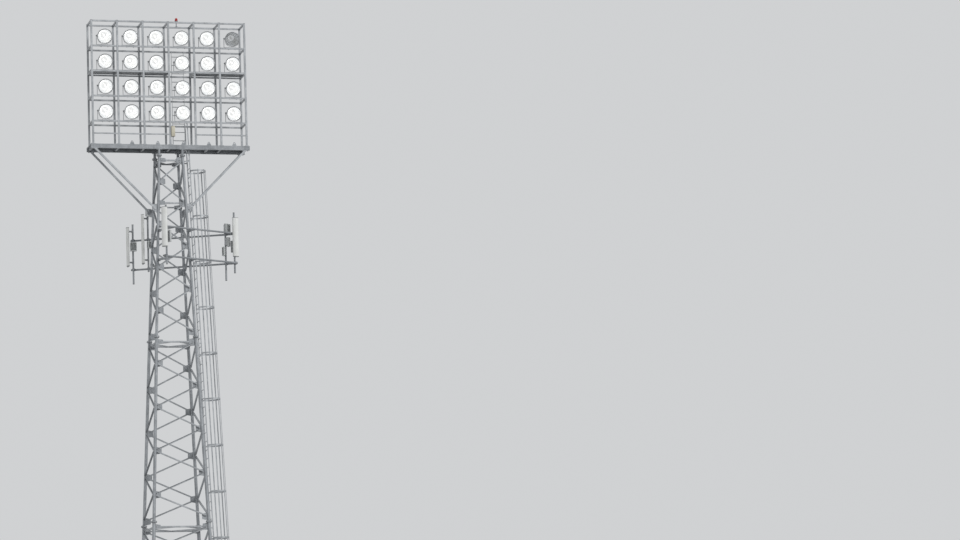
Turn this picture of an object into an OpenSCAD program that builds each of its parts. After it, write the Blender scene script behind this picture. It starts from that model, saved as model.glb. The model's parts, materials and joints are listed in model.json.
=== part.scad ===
// Stadium floodlight pylon: a square lattice tower of four bolted tube-leg sections,
// a two-frame headgear that carries four rows of six tilting floodlights, a caged
// ladder, service walkways and a two-level frame of panel antennas.
// Millimetres, +Z up. The origin is the centre of the tower's foot at ground level,
// the floodlights face -Y and the ladder is on the +X side.

/* [Tower] */
// Height of the top leg flanges above the ground
tower_h = 24000; // [20000:500:30000]
// Number of tower sections bolted end to end
sections = 4; // [3:1:5]
// Distance between leg centres at the foot
base_w = 2790; // [2400:10:3200]
// Distance between leg centres at the top flanges
top_w = 770; // [740:10:900]
// Number of zigzag bays on a face of one section
bays = 4; // [3:1:5]
// Outer diameter of the lowest leg tubes
leg_d_base = 127; // [108:1:150]
// Outer diameter of the highest leg tubes
leg_d_top = 89; // [76:1:100]
// How far a leg flange stands out from its tube
flange_lip = 42; // [35:1:55]
// Thickness of one leg flange
flange_t = 20; // [16:1:30]
// Distance from a flange joint to the nearest bracing node
node_margin = 160; // [140:5:220]
// Width of the bracing angles
brace_w = 50; // [40:1:60]
// Thickness of the bracing angles
brace_t = 5; // [4:1:8]
// Thickness of the gusset plates welded to the legs
gusset_t = 8; // [6:1:12]
// Reach of a gusset plate from the leg's centre line
gusset_l = 215; // [190:5:225]

/* [Foot] */
// Side of a square anchor plate
foot_w = 420; // [380:10:480]
// Thickness of an anchor plate
foot_t = 30; // [25:1:40]
// Spacing of the anchor holes, both ways
anchor_pitch = 310; // [290:5:330]
// Diameter of an anchor hole
anchor_d = 33; // [26:1:36]
// Width of the flat straps that keep the anchor plates at their distance
strap_w = 150; // [100:10:200]
// Thickness of those straps
strap_t = 12; // [10:1:20]

/* [Ladder] */
// Distance from the tower's face to the middle of the ladder's stiles
ladder_gap = 260; // [230:5:340]
// Distance between the stiles' centre lines
ladder_w = 400; // [350:10:420]
// Depth of a stile
stile_w = 40; // [30:1:50]
// Thickness of a stile
stile_t = 10; // [6:1:12]
// Spacing of the rungs
rung_pitch = 280; // [250:5:300]
// Diameter of a rung
rung_d = 24; // [20:1:30]
// Height of the lowest rung above the ground
ladder_foot = 400; // [300:20:600]
// Height of the hand-holds above the platform floor
handhold_h = 780; // [600:20:840]
// Inner radius of the cage hoops
hoop_r = 310; // [290:5:360]
// Spacing of the cage hoops
hoop_pitch = 1500; // [1200:50:1600]
// Height of a hoop's band
hoop_h = 50; // [40:1:60]
// Thickness of the hoops' and straps' flat bar
hoop_t = 6; // [5:1:8]
// Distance from the top flanges down to the highest hoop
hoop_drop = 480; // [400:10:700]
// Number of upright straps in the cage
cage_straps = 5; // [3:2:7]

/* [Headgear] */
// Number of lamp bays side by side
head_cols = 6; // [4:1:8]
// Width of a lamp bay
bay_w = 845; // [820:5:900]
// Number of lamp rows
lamp_rows = 4; // [3:1:5]
// Height of a lamp row
row_h = 830; // [810:5:950]
// Height of the main chords
chord_h = 140; // [120:5:180]
// Width of the main chords
chord_w = 60; // [50:1:80]
// Thickness of the chords' web and flanges
chord_t = 7; // [6:1:10]
// Overhang of the chords beyond the outer posts
chord_over = 60; // [40:5:100]
// Height of the stub posts between the top flanges and the chords
stub_h = 210; // [180:5:260]
// Width of a square frame tube
tube_w = 60; // [50:1:70]
// Width of a square rail
rail_w = 50; // [40:1:60]
// Thickness of the walkway grating
grate_t = 30; // [25:1:40]
// Length of the floor opening over the ladder
hatch_l = 640; // [600:10:700]
// Width of the floor opening over the ladder
hatch_w = 560; // [500:10:600]
// Number of the frame level that carries the upper walkway
upper_level = 3; // [2:1:3]
// Height of the knee rail above the chords' centre line
knee_h = 420; // [350:10:500]
// Diameter of the knee braces between the tower and the chords
strut_d = 60; // [50:1:70]
// Distance from the top flanges down to the foot of the knee braces
strut_drop = 1880; // [1750:10:2000]

/* [Floodlight] */
// Diameter over the reflector's rim
lamp_d = 510; // [460:5:515]
// Depth of the reflector from rim to neck
bowl_l = 290; // [260:5:310]
// Diameter of the lampholder housing behind the reflector
neck_d = 170; // [150:5:190]
// Length of the lampholder housing
neck_l = 150; // [120:5:170]
// Number of cooling fins round the lampholder housing
fins = 5; // [3:1:6]
// Height of a cooling fin
fin_h = 12; // [6:1:16]
// Thickness of the reflector shell
bowl_t = 4; // [3:0.5:6]
// Distance from the tilt axis forward to the rim
rim_l = 115; // [100:5:125]
// Height of the tilt axis above the centre of its rail
axis_h = 330; // [325:1:350]
// Downward aim of the floodlights at rest, in degrees
aim = 22; // [10:1:30]
// Diameter of the tilt pins
pin_d = 16; // [12:1:20]
// Running clearance around a tilt pin
pin_gap = 0.1; // [0.05:0.01:0.1]
// Width of the stirrup's flat bar
stirrup_w = 60; // [50:1:70]
// Thickness of the stirrup's flat bar
stirrup_t = 6; // [5:1:8]
// Clearance between a floodlight's boss and its stirrup
boss_gap = 1; // [0.5:0.5:2]

/* [Antennas] */
// Distance from the top flanges down to the upper antenna pipes
antenna_drop = 2500; // [2350:10:2600]
// Distance between the upper and lower antenna pipes
antenna_step = 970; // [900:10:1000]
// Distance from the tower's centre to the mast where the pipes meet
apex_x = 2120; // [1950:10:2250]
// Angle between the antenna pipes and the direction of the ladder
spread = 27; // [25:0.5:30]
// Diameter of the antenna pipes and masts
pipe_d = 60; // [48:1:64]
// Distance between the centre lines of a pipe and the mast clamped to it
stand = 70; // [66:1:80]
// Length of the front antenna pipes
front_pipe_l = 2980; // [2850:10:3200]
// Length of the rear antenna pipes
rear_pipe_l = 3540; // [3400:10:3700]
// Width and height of the square arms between the legs and the pipes
arm_w = 60; // [50:1:70]
// Width of a panel antenna
panel_w = 200; // [150:10:210]
// Depth of a panel antenna
panel_t = 90; // [70:5:110]
// Height of a standard panel antenna
panel_h = 1290; // [1200:10:1350]
// Height of the long panel antenna
long_panel_h = 1640; // [1500:10:1700]
// Width of a large radio unit
radio_w = 230; // [200:5:260]
// Height of a large radio unit
radio_h = 380; // [340:10:400]
// Width of a small radio unit
unit_w = 120; // [100:5:140]
// Height of a small radio unit
unit_h = 240; // [200:10:260]

/* [Hidden] */
fine = 48;
coarse = 8;
big = 60000;
half_base = base_w / 2;
half_top = top_w / 2;
section_h = (tower_h - foot_t) / sections;
tilt = atan((half_base - half_top) / (tower_h - foot_t));
bay_h = (section_h - 2 * node_margin) / bays;
chord_z = tower_h + stub_h + chord_h / 2;
deck_z = chord_z + chord_h / 2;
post_xs = [for (i = [0 : head_cols]) (i - head_cols / 2) * bay_w];
lamp_xs = [for (i = [0 : head_cols - 1]) (i - head_cols / 2 + 0.5) * bay_w];
frame_top = chord_z + (lamp_rows + 1) * row_h;
chord_l = head_cols * bay_w + tube_w + 2 * chord_over;
hatch_x = half_w(deck_z) + ladder_gap / cos(tilt) - stile_w / 2 - 25;
hatch_end = hatch_x + hatch_l;
inner_ladder_x = bay_w / 2;

function lamp_node(r, c) = str("lamp_r", r, "c", c);

// Height of the bottom of section k, counted from 1 at the ground
function section_z(k) = foot_t + (k - 1) * section_h;

// Half the distance between leg centres at height z
function half_w(z) = half_base - (z - foot_t) * (half_base - half_top) / (tower_h - foot_t);

// Height along the slope of a face, for a height above the ground
function slope(z) = (z - foot_t) / cos(tilt);

function leg_d(k) = leg_d_base + (leg_d_top - leg_d_base) * (k - 1) / (sections - 1);

// Places children on a face of the tower: x along the face, y up its slope, z outwards.
// Face 0 is the front, 1 the right side, 2 the rear and 3 the left side.
module on_face(face)
    rotate([0, 0, 90 * face])
        translate([0, -half_base, foot_t])
            rotate([90 - tilt, 0, 0])
                children();

// Places children, drawn along +Z, so that they run from point a to point b
module from_to(a, b) {
    d = b - a;
    translate(a) rotate([0, acos(d[2] / norm(d)), atan2(d[1], d[0])]) children();
}

module rod(a, b, d, sides = coarse) from_to(a, b) cylinder(d = d, h = norm(b - a), $fn = sides);

// A box given by its lowest and highest corners
module block(lo, hi) translate(lo) cube(hi - lo);

// A square bar along X, Y or Z between two points on its centre line
module bar(a, b, w) block([for (i = [0 : 2]) min(a[i], b[i]) - (a[i] == b[i] ? w / 2 : 0)],
                          [for (i = [0 : 2]) max(a[i], b[i]) + (a[i] == b[i] ? w / 2 : 0)]);

module at_corners(dx, dy) for (sx = [-1, 1], sy = [-1, 1]) translate([sx * dx, sy * dy, 0]) children();

// Bracing node i on the side of a face where s is +1 or -1. Even steps are on the
// right leg of the face and odd steps, half a bay down, on the left one.
function node_v(k, step) = slope(section_z(k) + section_h - node_margin - step * bay_h / 2);
function face_u(v) = half_w(foot_t + v * cos(tilt));
function node_side(face, step) = (step % 2 == 0 ? 1 : -1) * (face % 2 == 0 ? 1 : -1);

// Foot: four anchor plates, joined by straps that lie flat on the foundation
module base_frame() color("#8d9196") difference() {
    union() {
        at_corners(half_base, half_base)
            translate([-foot_w / 2, -foot_w / 2, 0]) cube([foot_w, foot_w, foot_t]);
        for (turn = [0 : 3])
            rotate([0, 0, 90 * turn])
                block([-half_base, -half_base - strap_w / 2, 0],
                      [half_base, -half_base + strap_w / 2, strap_t]);
    }
    at_corners(half_base, half_base)
        at_corners(anchor_pitch / 2, anchor_pitch / 2)
            translate([0, 0, -1]) cylinder(d = anchor_d, h = foot_t + 2, $fn = fine);
}

// One leg tube of section k with its two flanges, at the corner with signs sx and sy
module leg_tube(k, sx, sy) {
    low = section_z(k);
    high = low + section_h - flange_t;
    rod(leg_point(sx, sy, low + flange_t / 2), leg_point(sx, sy, high + flange_t / 2), leg_d(k), fine);
    for (z = [low, high])
        translate(leg_point(sx, sy, z)) cylinder(d = leg_d(k) + 2 * flange_lip, h = flange_t, $fn = fine);
}

function leg_point(sx, sy, z) = [sx * half_w(z), sy * half_w(z), z];

// Gusset plate in the plane of a face, welded to the leg on side s at slope height v
module gusset(s, v, h) {
    u = face_u(v);
    translate([0, 0, -gusset_t / 2]) linear_extrude(gusset_t)
        polygon([[s * u, v - h / 2], [s * (u - gusset_l), v - h / 3],
                 [s * (u - gusset_l), v + h / 3], [s * u, v + h / 2]]);
}

module tower_legs(k) color("#a3a8ad") {
    for (sx = [-1, 1], sy = [-1, 1])
        leg_tube(k, sx, sy);
    for (face = [0 : 3])
        on_face(face) {
            for (step = [0 : 2 * bays])
                gusset(node_side(face, step), node_v(k, step), 260);
            gusset(-node_side(face, 0), node_v(k, 0), 180);
            if (k == sections) gusset(-node_side(face, 2), node_v(k, 2), 180);
            if (k == sections && face % 2 == 0)
                for (m = [0, 1]) mirror([m, 0, 0]) knee_gusset();
        }
}

// Gusset at the foot of a knee brace, outside the right leg of a face
module knee_gusset() {
    u = knee_foot[0];
    v = knee_foot[1];
    translate([0, 0, -gusset_t / 2]) linear_extrude(gusset_t)
        polygon([[u, v - 70], [u + knee_reach, v + 70], [u + knee_reach, v + 250],
                 [u + 80, v + 250], [u, v + 150]]);
}

// An angle bar on a face between two points of it: its flat leg is against the plane
// at height w0 and the other leg stands away from the face, outwards if out is +1
module angle_bar(a, b, w0, out) {
    d = b - a;
    translate([a[0], a[1], w0]) rotate([0, 0, atan2(d[1], d[0])]) rotate([90, 0, 90])
        linear_extrude(norm(d))
            polygon([[-brace_w / 2, 0], [brace_w / 2, 0], [brace_w / 2, out * brace_t],
                     [-brace_w / 2 + brace_t, out * brace_t], [-brace_w / 2 + brace_t, out * brace_w],
                     [-brace_w / 2, out * brace_w]]);
}

// Shortens the line from a to b by the given lengths at its ends
function toward(a, b, l) = a + (b - a) * l / norm(b - a);

module face_bracing(face) color("#b4b9bd") on_face(face) {
    for (k = [1 : sections], step = [0 : 2 * bays - 1]) {
        s = node_side(face, step);
        v1 = node_v(k, step);
        v2 = node_v(k, step + 1);
        a = [s * face_u(v1), v1];
        b = [-s * face_u(v2), v2];
        rise = asin((v1 - v2) / norm(b - a));
        clear = max((leg_d(k) / 2 + 8 + brace_w / 2 * sin(rise)) / cos(rise),
                    (4 + brace_w / 2 * cos(rise)) / sin(rise));
        angle_bar(toward(a, b, clear), toward(b, a, clear), gusset_t / 2, 1);
    }
    for (k = [1 : sections], step = k == sections ? [0, 2] : [0]) {
        v = node_v(k, step);
        reach = face_u(v) - leg_d(k) / 2 - 15;
        angle_bar([-reach, v], [reach, v], -gusset_t / 2, -1);
    }
}

// Diamonds of flat bar between the middles of the four horizontals of each level
module plan_bracing() color("#a3a8ad") difference() {
    for (k = [1 : sections]) {
        z = section_z(k) + section_h - node_margin;
        for (turn = [0 : 3])
            rotate([0, 0, 90 * turn])
                from_to([0, -half_w(z), z], [half_w(z), 0, z])
                    translate([-brace_w / 2, -hoop_t / 2, 0])
                        cube([brace_w - brace_t - 4, hoop_t, norm([half_w(z), half_w(z)])]);
    }
    for (face = [0 : 3])
        on_face(face) translate([-big / 2, -big / 2, -gusset_t / 2 - brace_t]) cube([big, big, big]);
}

// Ladder, parallel to the right side of the tower
ladder_low = slope(ladder_foot - 150);
ladder_high = slope(deck_z + handhold_h);
rungs = floor((slope(deck_z) - slope(ladder_foot)) / rung_pitch);
module ladder() color("#c3c7ca") on_face(1) {
    for (s = [-1, 1])
        block([s * ladder_w / 2 - stile_t / 2, ladder_low, ladder_gap - stile_w / 2],
              [s * ladder_w / 2 + stile_t / 2, ladder_high, ladder_gap + stile_w / 2]);
    for (i = [0 : rungs])
        rod([-ladder_w / 2, slope(ladder_foot) + i * rung_pitch, ladder_gap],
            [ladder_w / 2, slope(ladder_foot) + i * rung_pitch, ladder_gap], rung_d);
}

// Flat bars that hold the stiles off the horizontals of the tower's face, or off the
// gussets where these reach as far in as the stiles
module ladder_brackets() color("#c3c7ca") on_face(1)
    for (k = [1 : sections], step = k == sections ? [0, 2] : [0], s = [-1, 1]) {
        v = node_v(k, step);
        foot = face_u(v) - gusset_l > stile_u ? -gusset_t / 2 : gusset_t / 2;
        translate([s * ladder_w / 2, v, 0])
            block([-stile_t / 2, -stile_w / 2, foot], [stile_t / 2, stile_w / 2, ladder_gap - stile_w / 2]);
    }

// Safety cage: hoops round the climbing space, their ends bolted to the stiles, joined
// by upright straps on the inside
stile_u = (ladder_w + stile_t) / 2;
hoop_mid = ladder_gap + sqrt(hoop_r * hoop_r - stile_u * stile_u);
hoops = floor((tower_h - hoop_drop - 2400) / hoop_pitch);
module ladder_cage() color("#c3c7ca") on_face(1) {
    top = slope(tower_h - hoop_drop);
    for (i = [0 : hoops])
        translate([0, top - i * hoop_pitch, 0]) hoop();
    for (i = [0 : cage_straps - 1]) {
        turn = 180 * i / (cage_straps - 1);
        translate([0, 0, hoop_mid]) rotate([0, -turn, 0])
            block([hoop_r - hoop_t, top - hoops * hoop_pitch - hoop_h / 2 - 20, -20],
                  [hoop_r + hoop_t / 2, top + hoop_h / 2 + 20, 20]);
    }
}

module hoop() {
    translate([0, 0, hoop_mid]) rotate([90, 0, 0]) difference() {
        translate([0, 0, -hoop_h / 2]) cylinder(r = hoop_r + hoop_t, h = hoop_h, $fn = fine);
        translate([0, 0, -hoop_h]) cylinder(r = hoop_r, h = 2 * hoop_h, $fn = fine);
        translate([-big / 2, -big - (hoop_mid - ladder_gap), -hoop_h]) cube([big, big, 2 * hoop_h]);
    }
    for (s = [0, 1])
        mirror([s, 0, 0])
            block([stile_u, -hoop_h / 2, ladder_gap - stile_w / 2],
                  [stile_u + 12, hoop_h / 2, ladder_gap + 10]);
}

// Knee braces between the tower's front and rear faces and the ends of the chords
knee_foot = [face_u(slope(tower_h - strut_drop)), slope(tower_h - strut_drop)];
knee_head = [chord_l / 2 * 0.97, slope(chord_z)];
knee_rise = atan2(knee_head[1] - knee_foot[1], knee_head[0] - knee_foot[0]);
knee_reach = 190;
knee_top = [knee_head[0] - (knee_head[1] - slope(tower_h + stub_h)) / tan(knee_rise), tower_h + stub_h];
module knee_braces() color("#b4b9bd")
    for (turn = [0, 180], m = [0, 1])
        rotate([0, 0, turn]) mirror([m, 0, 0]) {
            difference() {
                on_face(0) translate([knee_foot[0], knee_foot[1], gusset_t / 2]) rotate([0, 0, knee_rise]) {
                    block([(leg_d_top / 2 + 8 + 35 * sin(knee_rise)) / cos(knee_rise), -35, 0],
                          [360, 35, 10]);
                    block([(knee_reach + strut_d / 2 + 4) / cos(knee_rise), -strut_d / 2, 5 - strut_d / 2],
                          [norm(knee_head - knee_foot), strut_d / 2, 5 + strut_d / 2]);
                }
                translate([-big / 2, -big / 2, knee_top[1]]) cube([big, big, big]);
            }
            block([knee_top[0] - 100, -half_top - chord_w / 2, knee_top[1] - 12],
                  [knee_top[0] + 100, -half_top + chord_w / 2, knee_top[1]]);
        }

// A channel section chord along X, its web on the side of the sign s
module chord(s) translate([-chord_l / 2, s * half_top, chord_z]) rotate([90, 0, 90])
    linear_extrude(chord_l)
        polygon([for (p = [[0.5, -0.5], [0.5, 0.5], [-0.5, 0.5]]) [p[0] * s * chord_w, p[1] * chord_h],
                 [-0.5 * s * chord_w, chord_h / 2 - chord_t],
                 [s * (chord_w / 2 - chord_t), chord_h / 2 - chord_t],
                 [s * (chord_w / 2 - chord_t), -chord_h / 2 + chord_t],
                 [-0.5 * s * chord_w, -chord_h / 2 + chord_t], [-0.5 * s * chord_w, -chord_h / 2]]);

module main_chords() color("#9aa0a5") for (s = [-1, 1]) chord(s);

// Cross bearers of the platform: at the posts, and as trimmers at both ends of the
// hatch instead of the post that the hatch runs past
bearer_xs = concat([for (x = post_xs) if (x < hatch_x - 2 * tube_w || x > hatch_end + 2 * tube_w) x],
                   [hatch_x - tube_w / 2, hatch_end + tube_w / 2]);
module platform_bearers() color("#9aa0a5") {
    y = half_top + chord_w / 2 - chord_t;
    for (x = bearer_xs)
        block([x - tube_w / 2, -y, chord_z - 40], [x + tube_w / 2, y, deck_z - grate_t]);
}

// Short posts from the top leg flanges to the chords
module stub_posts() color("#9aa0a5") at_corners(half_top, half_top) translate([0, 0, tower_h]) {
    cylinder(d = leg_d_top + 2 * flange_lip, h = flange_t, $fn = fine);
    cylinder(d = leg_d_top, h = stub_h, $fn = fine);
    block([-90, -chord_w / 2, stub_h - 12], [90, chord_w / 2, stub_h]);
}

// Grating panels in a row, between the given edges
module grating_row(edges, y0, y1, z)
    for (i = [0 : len(edges) - 2])
        block([edges[i] + 2, y0, z], [edges[i + 1] - 2, y1, z + grate_t]);

// Platform grating on both sides of the hatch, with a strip along each side of it
module platform_floor() color("#7f858a") {
    y = half_top - chord_w / 2 - 2;
    z = deck_z - grate_t;
    near = hatch_x - tube_w / 2;
    far = hatch_end + tube_w / 2;
    inner_xs = [for (i = [1 : head_cols - 1]) post_xs[i]];
    grating_row(concat([-chord_l / 2], [for (x = inner_xs) if (x < near - 200) x], [near]), -y, y, z);
    grating_row(concat([far], [for (x = inner_xs) if (x > far + 200) x], [chord_l / 2]), -y, y, z);
    for (s = [0, 1])
        mirror([0, s, 0]) grating_row([near, far], hatch_w / 2, y, z);
}

// Lifting lugs on the front chord, in the middle of every bay but the first
module lifting_lugs() color("#9aa0a5")
    for (i = [1 : head_cols - 1])
        translate([lamp_xs[i], -half_top - chord_w / 2 + 12, deck_z]) rotate([90, 0, 0])
            linear_extrude(12) difference() {
                polygon([[-75, 0], [75, 0], [22, 115], [-22, 115]]);
                translate([0, 78]) circle(d = 34, $fn = 16);
            }

// Posts of the front and rear frames, standing on the chords
module frame_posts() color("#aeb3b7")
    for (x = post_xs, y = [-half_top, half_top])
        bar([x, y, deck_z], [x, y, frame_top + rail_w / 2], tube_w);

// Rails of both frames, welded in between the posts at every lamp row and at the top
module frame_rails() color("#aeb3b7")
    for (x = lamp_xs, y = [-half_top, half_top], i = [1 : lamp_rows + 1])
        translate([x, y, chord_z + i * row_h])
            bar([-(bay_w - tube_w) / 2, 0, 0], [(bay_w - tube_w) / 2, 0, 0], rail_w);

// Ties between the front and rear frames: at every level of the end posts, and at
// every post along the top and under the upper walkway
module cross_ties() color("#aeb3b7") {
    y = half_top - tube_w / 2;
    for (x = [post_xs[0], post_xs[head_cols]], i = [1 : lamp_rows])
        if (i != upper_level)
            bar([x, -y, chord_z + i * row_h], [x, y, chord_z + i * row_h], rail_w);
    for (x = post_xs, i = [upper_level, lamp_rows + 1])
        bar([x, -y, chord_z + i * row_h], [x, y, chord_z + i * row_h], rail_w);
}

// Grating of the upper walkway, on the ties of its level and open over the inner ladder
module upper_walkway() color("#7f858a") {
    z = chord_z + upper_level * row_h;
    y = half_top - tube_w / 2;
    mid = floor(head_cols / 2);
    for (edges = [concat([post_xs[0] - tube_w / 2], [for (i = [1 : mid - 1]) post_xs[i]],
                         [post_xs[mid] + tube_w / 2]),
                  concat([post_xs[mid + 1] - tube_w / 2], [for (i = [mid + 2 : head_cols - 1]) post_xs[i]],
                         [post_xs[head_cols] + tube_w / 2])])
        grating_row(edges, -y + tube_w, y - tube_w, z + rail_w / 2);
}

// Knee rail along the front of the platform, left out at the ladder's bay
module knee_rails() color("#aeb3b7")
    for (i = [0 : head_cols - 1])
        if (i != floor(head_cols / 2))
            block([post_xs[i] + tube_w / 2, -half_top - 20, chord_z + knee_h - 20],
                  [post_xs[i + 1] - tube_w / 2, -half_top + 20, chord_z + knee_h + 20]);

// Ladder from the platform past the upper walkway, on the inside of the rear frame
module inner_ladder() color("#c3c7ca") {
    y = half_top - rail_w / 2 - stile_w / 2;
    top = chord_z + lamp_rows * row_h + rail_w / 2;
    for (s = [-1, 1])
        translate([inner_ladder_x + s * ladder_w / 2, y, 0])
            block([-stile_t / 2, -stile_w / 2, deck_z], [stile_t / 2, stile_w / 2, top]);
    for (z = [deck_z + rung_pitch : rung_pitch : top - stile_w])
        rod([inner_ladder_x - ladder_w / 2, y, z], [inner_ladder_x + ladder_w / 2, y, z], rung_d);
}

// Cable junction box on the front post at the ladder's bay: a body with a raised door
// towards the platform, a rain lip over it and a conduit down to the chord
box_z = 350 + chord_z;
module junction_box() color("#b9b5a4")
    translate([post_xs[floor(head_cols / 2)] + tube_w / 2, -half_top, box_z]) {
        block([0, -70, 0], [120, 60, 330]);
        block([7, 60, 7], [113, 70, 323]);
        block([0, -74, 330], [124, 86, 334]);
        translate([100, 66, 165]) rotate([-90, 0, 0]) cylinder(d = 22, h = 12, $fn = fine);
        translate([60, 0, deck_z - box_z]) cylinder(d = 25, h = box_z - deck_z, $fn = fine);
        translate([60, 0, -30]) cylinder(d = 40, h = 30, $fn = 6);
    }

// Stirrups of one lamp row: a flat bar bent to a U, standing on the rail
arm_x = lamp_d / 2 + 5 + boss_gap;
module stirrup() difference() {
    union() {
        block([-arm_x - stirrup_t, -stirrup_w / 2, -axis_h + rail_w / 2],
              [arm_x + stirrup_t, stirrup_w / 2, -axis_h + rail_w / 2 + stirrup_t]);
        for (s = [-1, 1]) {
            block([min(s * arm_x, s * (arm_x + stirrup_t)), -stirrup_w / 2, -axis_h + rail_w / 2],
                  [max(s * arm_x, s * (arm_x + stirrup_t)), stirrup_w / 2, 0]);
            translate([s * (arm_x + stirrup_t / 2) - stirrup_t / 2, 0, 0])
                rotate([0, 90, 0]) cylinder(d = stirrup_w, h = stirrup_t, $fn = fine);
        }
    }
    translate([-big / 2, 0, 0]) rotate([0, 90, 0]) cylinder(d = pin_d + 2 * pin_gap, h = big, $fn = fine);
}

function lamp_z(r) = chord_z + (lamp_rows + 1 - r) * row_h + axis_h;
module stirrups(r) color("#6c7176")
    for (x = lamp_xs)
        translate([x, -half_top, lamp_z(r)]) stirrup();

// Radius of the reflector at a distance along its axis, 0 at the neck and 1 at the rim
function bowl_r(t) = neck_d / 2 + (lamp_d / 2 - 14 - neck_d / 2) * sqrt(t);
bowl_steps = [0, 0.04, 0.12, 0.25, 0.45, 0.7, 1];

// A floodlight on its tilt axis, its light towards +Z before it is aimed
module floodlight() {
    neck_z = rim_l - bowl_l;
    rotate_extrude($fn = fine)
        polygon(concat([for (t = bowl_steps) [bowl_r(t), neck_z + t * bowl_l]],
                       [for (i = [len(bowl_steps) - 1 : -1 : 0])
                           [bowl_r(bowl_steps[i]) - bowl_t, neck_z + bowl_steps[i] * bowl_l]]));
    translate([0, 0, rim_l - 22]) difference() {
        cylinder(d = lamp_d, h = 22, $fn = fine);
        translate([0, 0, -1]) cylinder(r = bowl_r(0.95) - bowl_t - 6, h = 24, $fn = fine);
    }
    translate([0, 0, rim_l - 12]) cylinder(r = bowl_r(0.95), h = 6, $fn = fine);
    neck(neck_z);
    for (turn = [45 : 90 : 315])
        rotate([0, 0, turn]) latch();
    for (s = [-1, 1])
        rotate([0, 90 * s, 0]) {
            translate([0, 0, bowl_r(-neck_z / bowl_l) - bowl_t + 1])
                cylinder(d = 60, h = arm_x - boss_gap - bowl_r(-neck_z / bowl_l) + bowl_t - 1, $fn = fine);
            cylinder_from(arm_x - boss_gap - 2, arm_x + stirrup_t + 2 * boss_gap + 1, pin_d);
            cylinder_from(arm_x + stirrup_t + boss_gap, arm_x + stirrup_t + boss_gap + 12, 34);
        }
}

// Lampholder housing: fins round its middle, a domed cap and a cable gland under it
module neck(top) {
    pitch = neck_l / (fins + 1);
    translate([0, 0, top - neck_l]) {
        cylinder(d = neck_d, h = neck_l + 4, $fn = fine);
        for (i = [1 : fins])
            translate([0, 0, i * pitch]) cylinder(d = neck_d + 2 * fin_h, h = 5, $fn = fine);
    }
    translate([0, 0, top - neck_l]) rotate_extrude($fn = fine)
        polygon([[0, 1], [neck_d / 2 - 4, 1], [neck_d / 2 - 14, -12], [neck_d / 4, -20], [0, -22]]);
    translate([0, 0, top - neck_l + pitch / 2 + 2]) rotate([90, 0, 0]) {
        cylinder(d = 30, h = neck_d / 2 + 22, $fn = fine);
        cylinder(d = 22, h = neck_d / 2 + 40, $fn = fine);
    }
}

// Spring clip that holds the front glass ring to the reflector's rim
module latch() translate([lamp_d / 2 - 14, 0, rim_l])
    rotate([90, 0, 0]) translate([0, 0, -15]) linear_extrude(30)
        polygon([[0, 3], [-12, 3], [-12, 0], [10, -4], [10, -24], [2, -46],
                 [4, -46], [20, -24], [20, 0], [14, 3]]);

module cylinder_from(z0, z1, d) translate([0, 0, z0]) cylinder(d = d, h = z1 - z0, $fn = fine);

module lamp(r, c) color("#d8d9d6")
    translate([lamp_xs[c - 1], -half_top, lamp_z(r)])
        rotate([aim, 0, 0]) rotate([90, 0, 0]) floodlight();

// Antennas: at two levels, a front and a rear pipe run from a mast beyond the ladder's
// cage past the tower's legs. The front pipe is side -1 and the rear one side +1.
antenna_top = tower_h - antenna_drop;
pipe_zs = [antenna_top, antenna_top - antenna_step];

// A point in plan: the distance along a pipe's direction from the apex, and the
// distance out from the tower across it. The pipe itself is at out = stand.
function pipe_point(side, along, out) = [apex_x, 0]
    + along * [-cos(spread), side * sin(spread)] + out * [sin(spread), side * cos(spread)];
function at_z(p, z) = [p[0], p[1], z];
function outward(side) = side * (90 - spread);

module antenna_pipe(side, z)
    rod(at_z(pipe_point(side, -40, stand), z),
        at_z(pipe_point(side, side < 0 ? front_pipe_l : rear_pipe_l, stand), z), pipe_d, 24);

// The two pipes of each level, on arms whose saddles are clamped to all four legs
module antenna_pipes() color("#9aa0a5") difference() {
    for (z = pipe_zs, side = [-1, 1]) {
        antenna_pipe(side, z);
        for (sx = [-1, 1])
            leg_arm(sx, side, z);
    }
    tower_legs(sections);
}

// An arm from a leg straight out to its pipe, with a saddle on the outside of the leg
module leg_arm(sx, side, z) {
    leg = half_w(z);
    away = apex_x - sx * leg;
    reach = stand + away * sin(spread) - leg * cos(spread);
    saddle = leg_d_top / 2 + 14;
    translate(at_z(pipe_point(side, away * cos(spread) + leg * sin(spread), stand), z))
        rotate([0, 0, outward(side)]) {
            block([leg_d_top / 3 - reach, -arm_w / 2, -arm_w / 2], [0, arm_w / 2, arm_w / 2]);
            block([leg_d_top / 3 - reach, -saddle, -45], [saddle - reach + 8, saddle, 45]);
        }
}

// Masts: side of the pipe that carries it, distance along it, offset out in stands,
// and bottom and top above the upper pipes
masts = [
    [1, 0, 0, -1300, 700],
    [-1, front_pipe_l - 80, 2, -1250, 680],
    [1, rear_pipe_l - 90, 0, -1450, 530],
    [1, rear_pipe_l - 610, 0, -1070, long_panel_h - 630],
    [1, 300, 0, -1530, 350],
];
function mast_xy(m) = pipe_point(m[0], m[1], m[2] * stand);
module antenna_masts() color("#9aa0a5") difference() {
    for (i = [0 : len(masts) - 1]) {
        m = masts[i];
        translate(at_z(mast_xy(m), antenna_top)) {
            translate([0, 0, m[3]]) cylinder(d = pipe_d, h = m[4] - m[3], $fn = 24);
            for (side = m[1] == 0 ? [-1, 1] : [m[0]], drop = [0, antenna_step])
                translate([0, 0, -drop]) rotate([0, 0, outward(side) + (m[2] > 1 ? 180 : 0)])
                    block([0, -45, -42], [stand, 45, 42]);
        }
        for (p = panels)
            if (p[0] == i)
                for (z = [panel_end, p[4] - panel_end])
                    translate(at_z(mast_xy(m), antenna_top + p[3] + z)) rotate([0, 0, p[1]])
                        panel_bracket(p[2]);
    }
    for (side = [-1, 1], z = pipe_zs)
        antenna_pipe(side, z);
}

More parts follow.
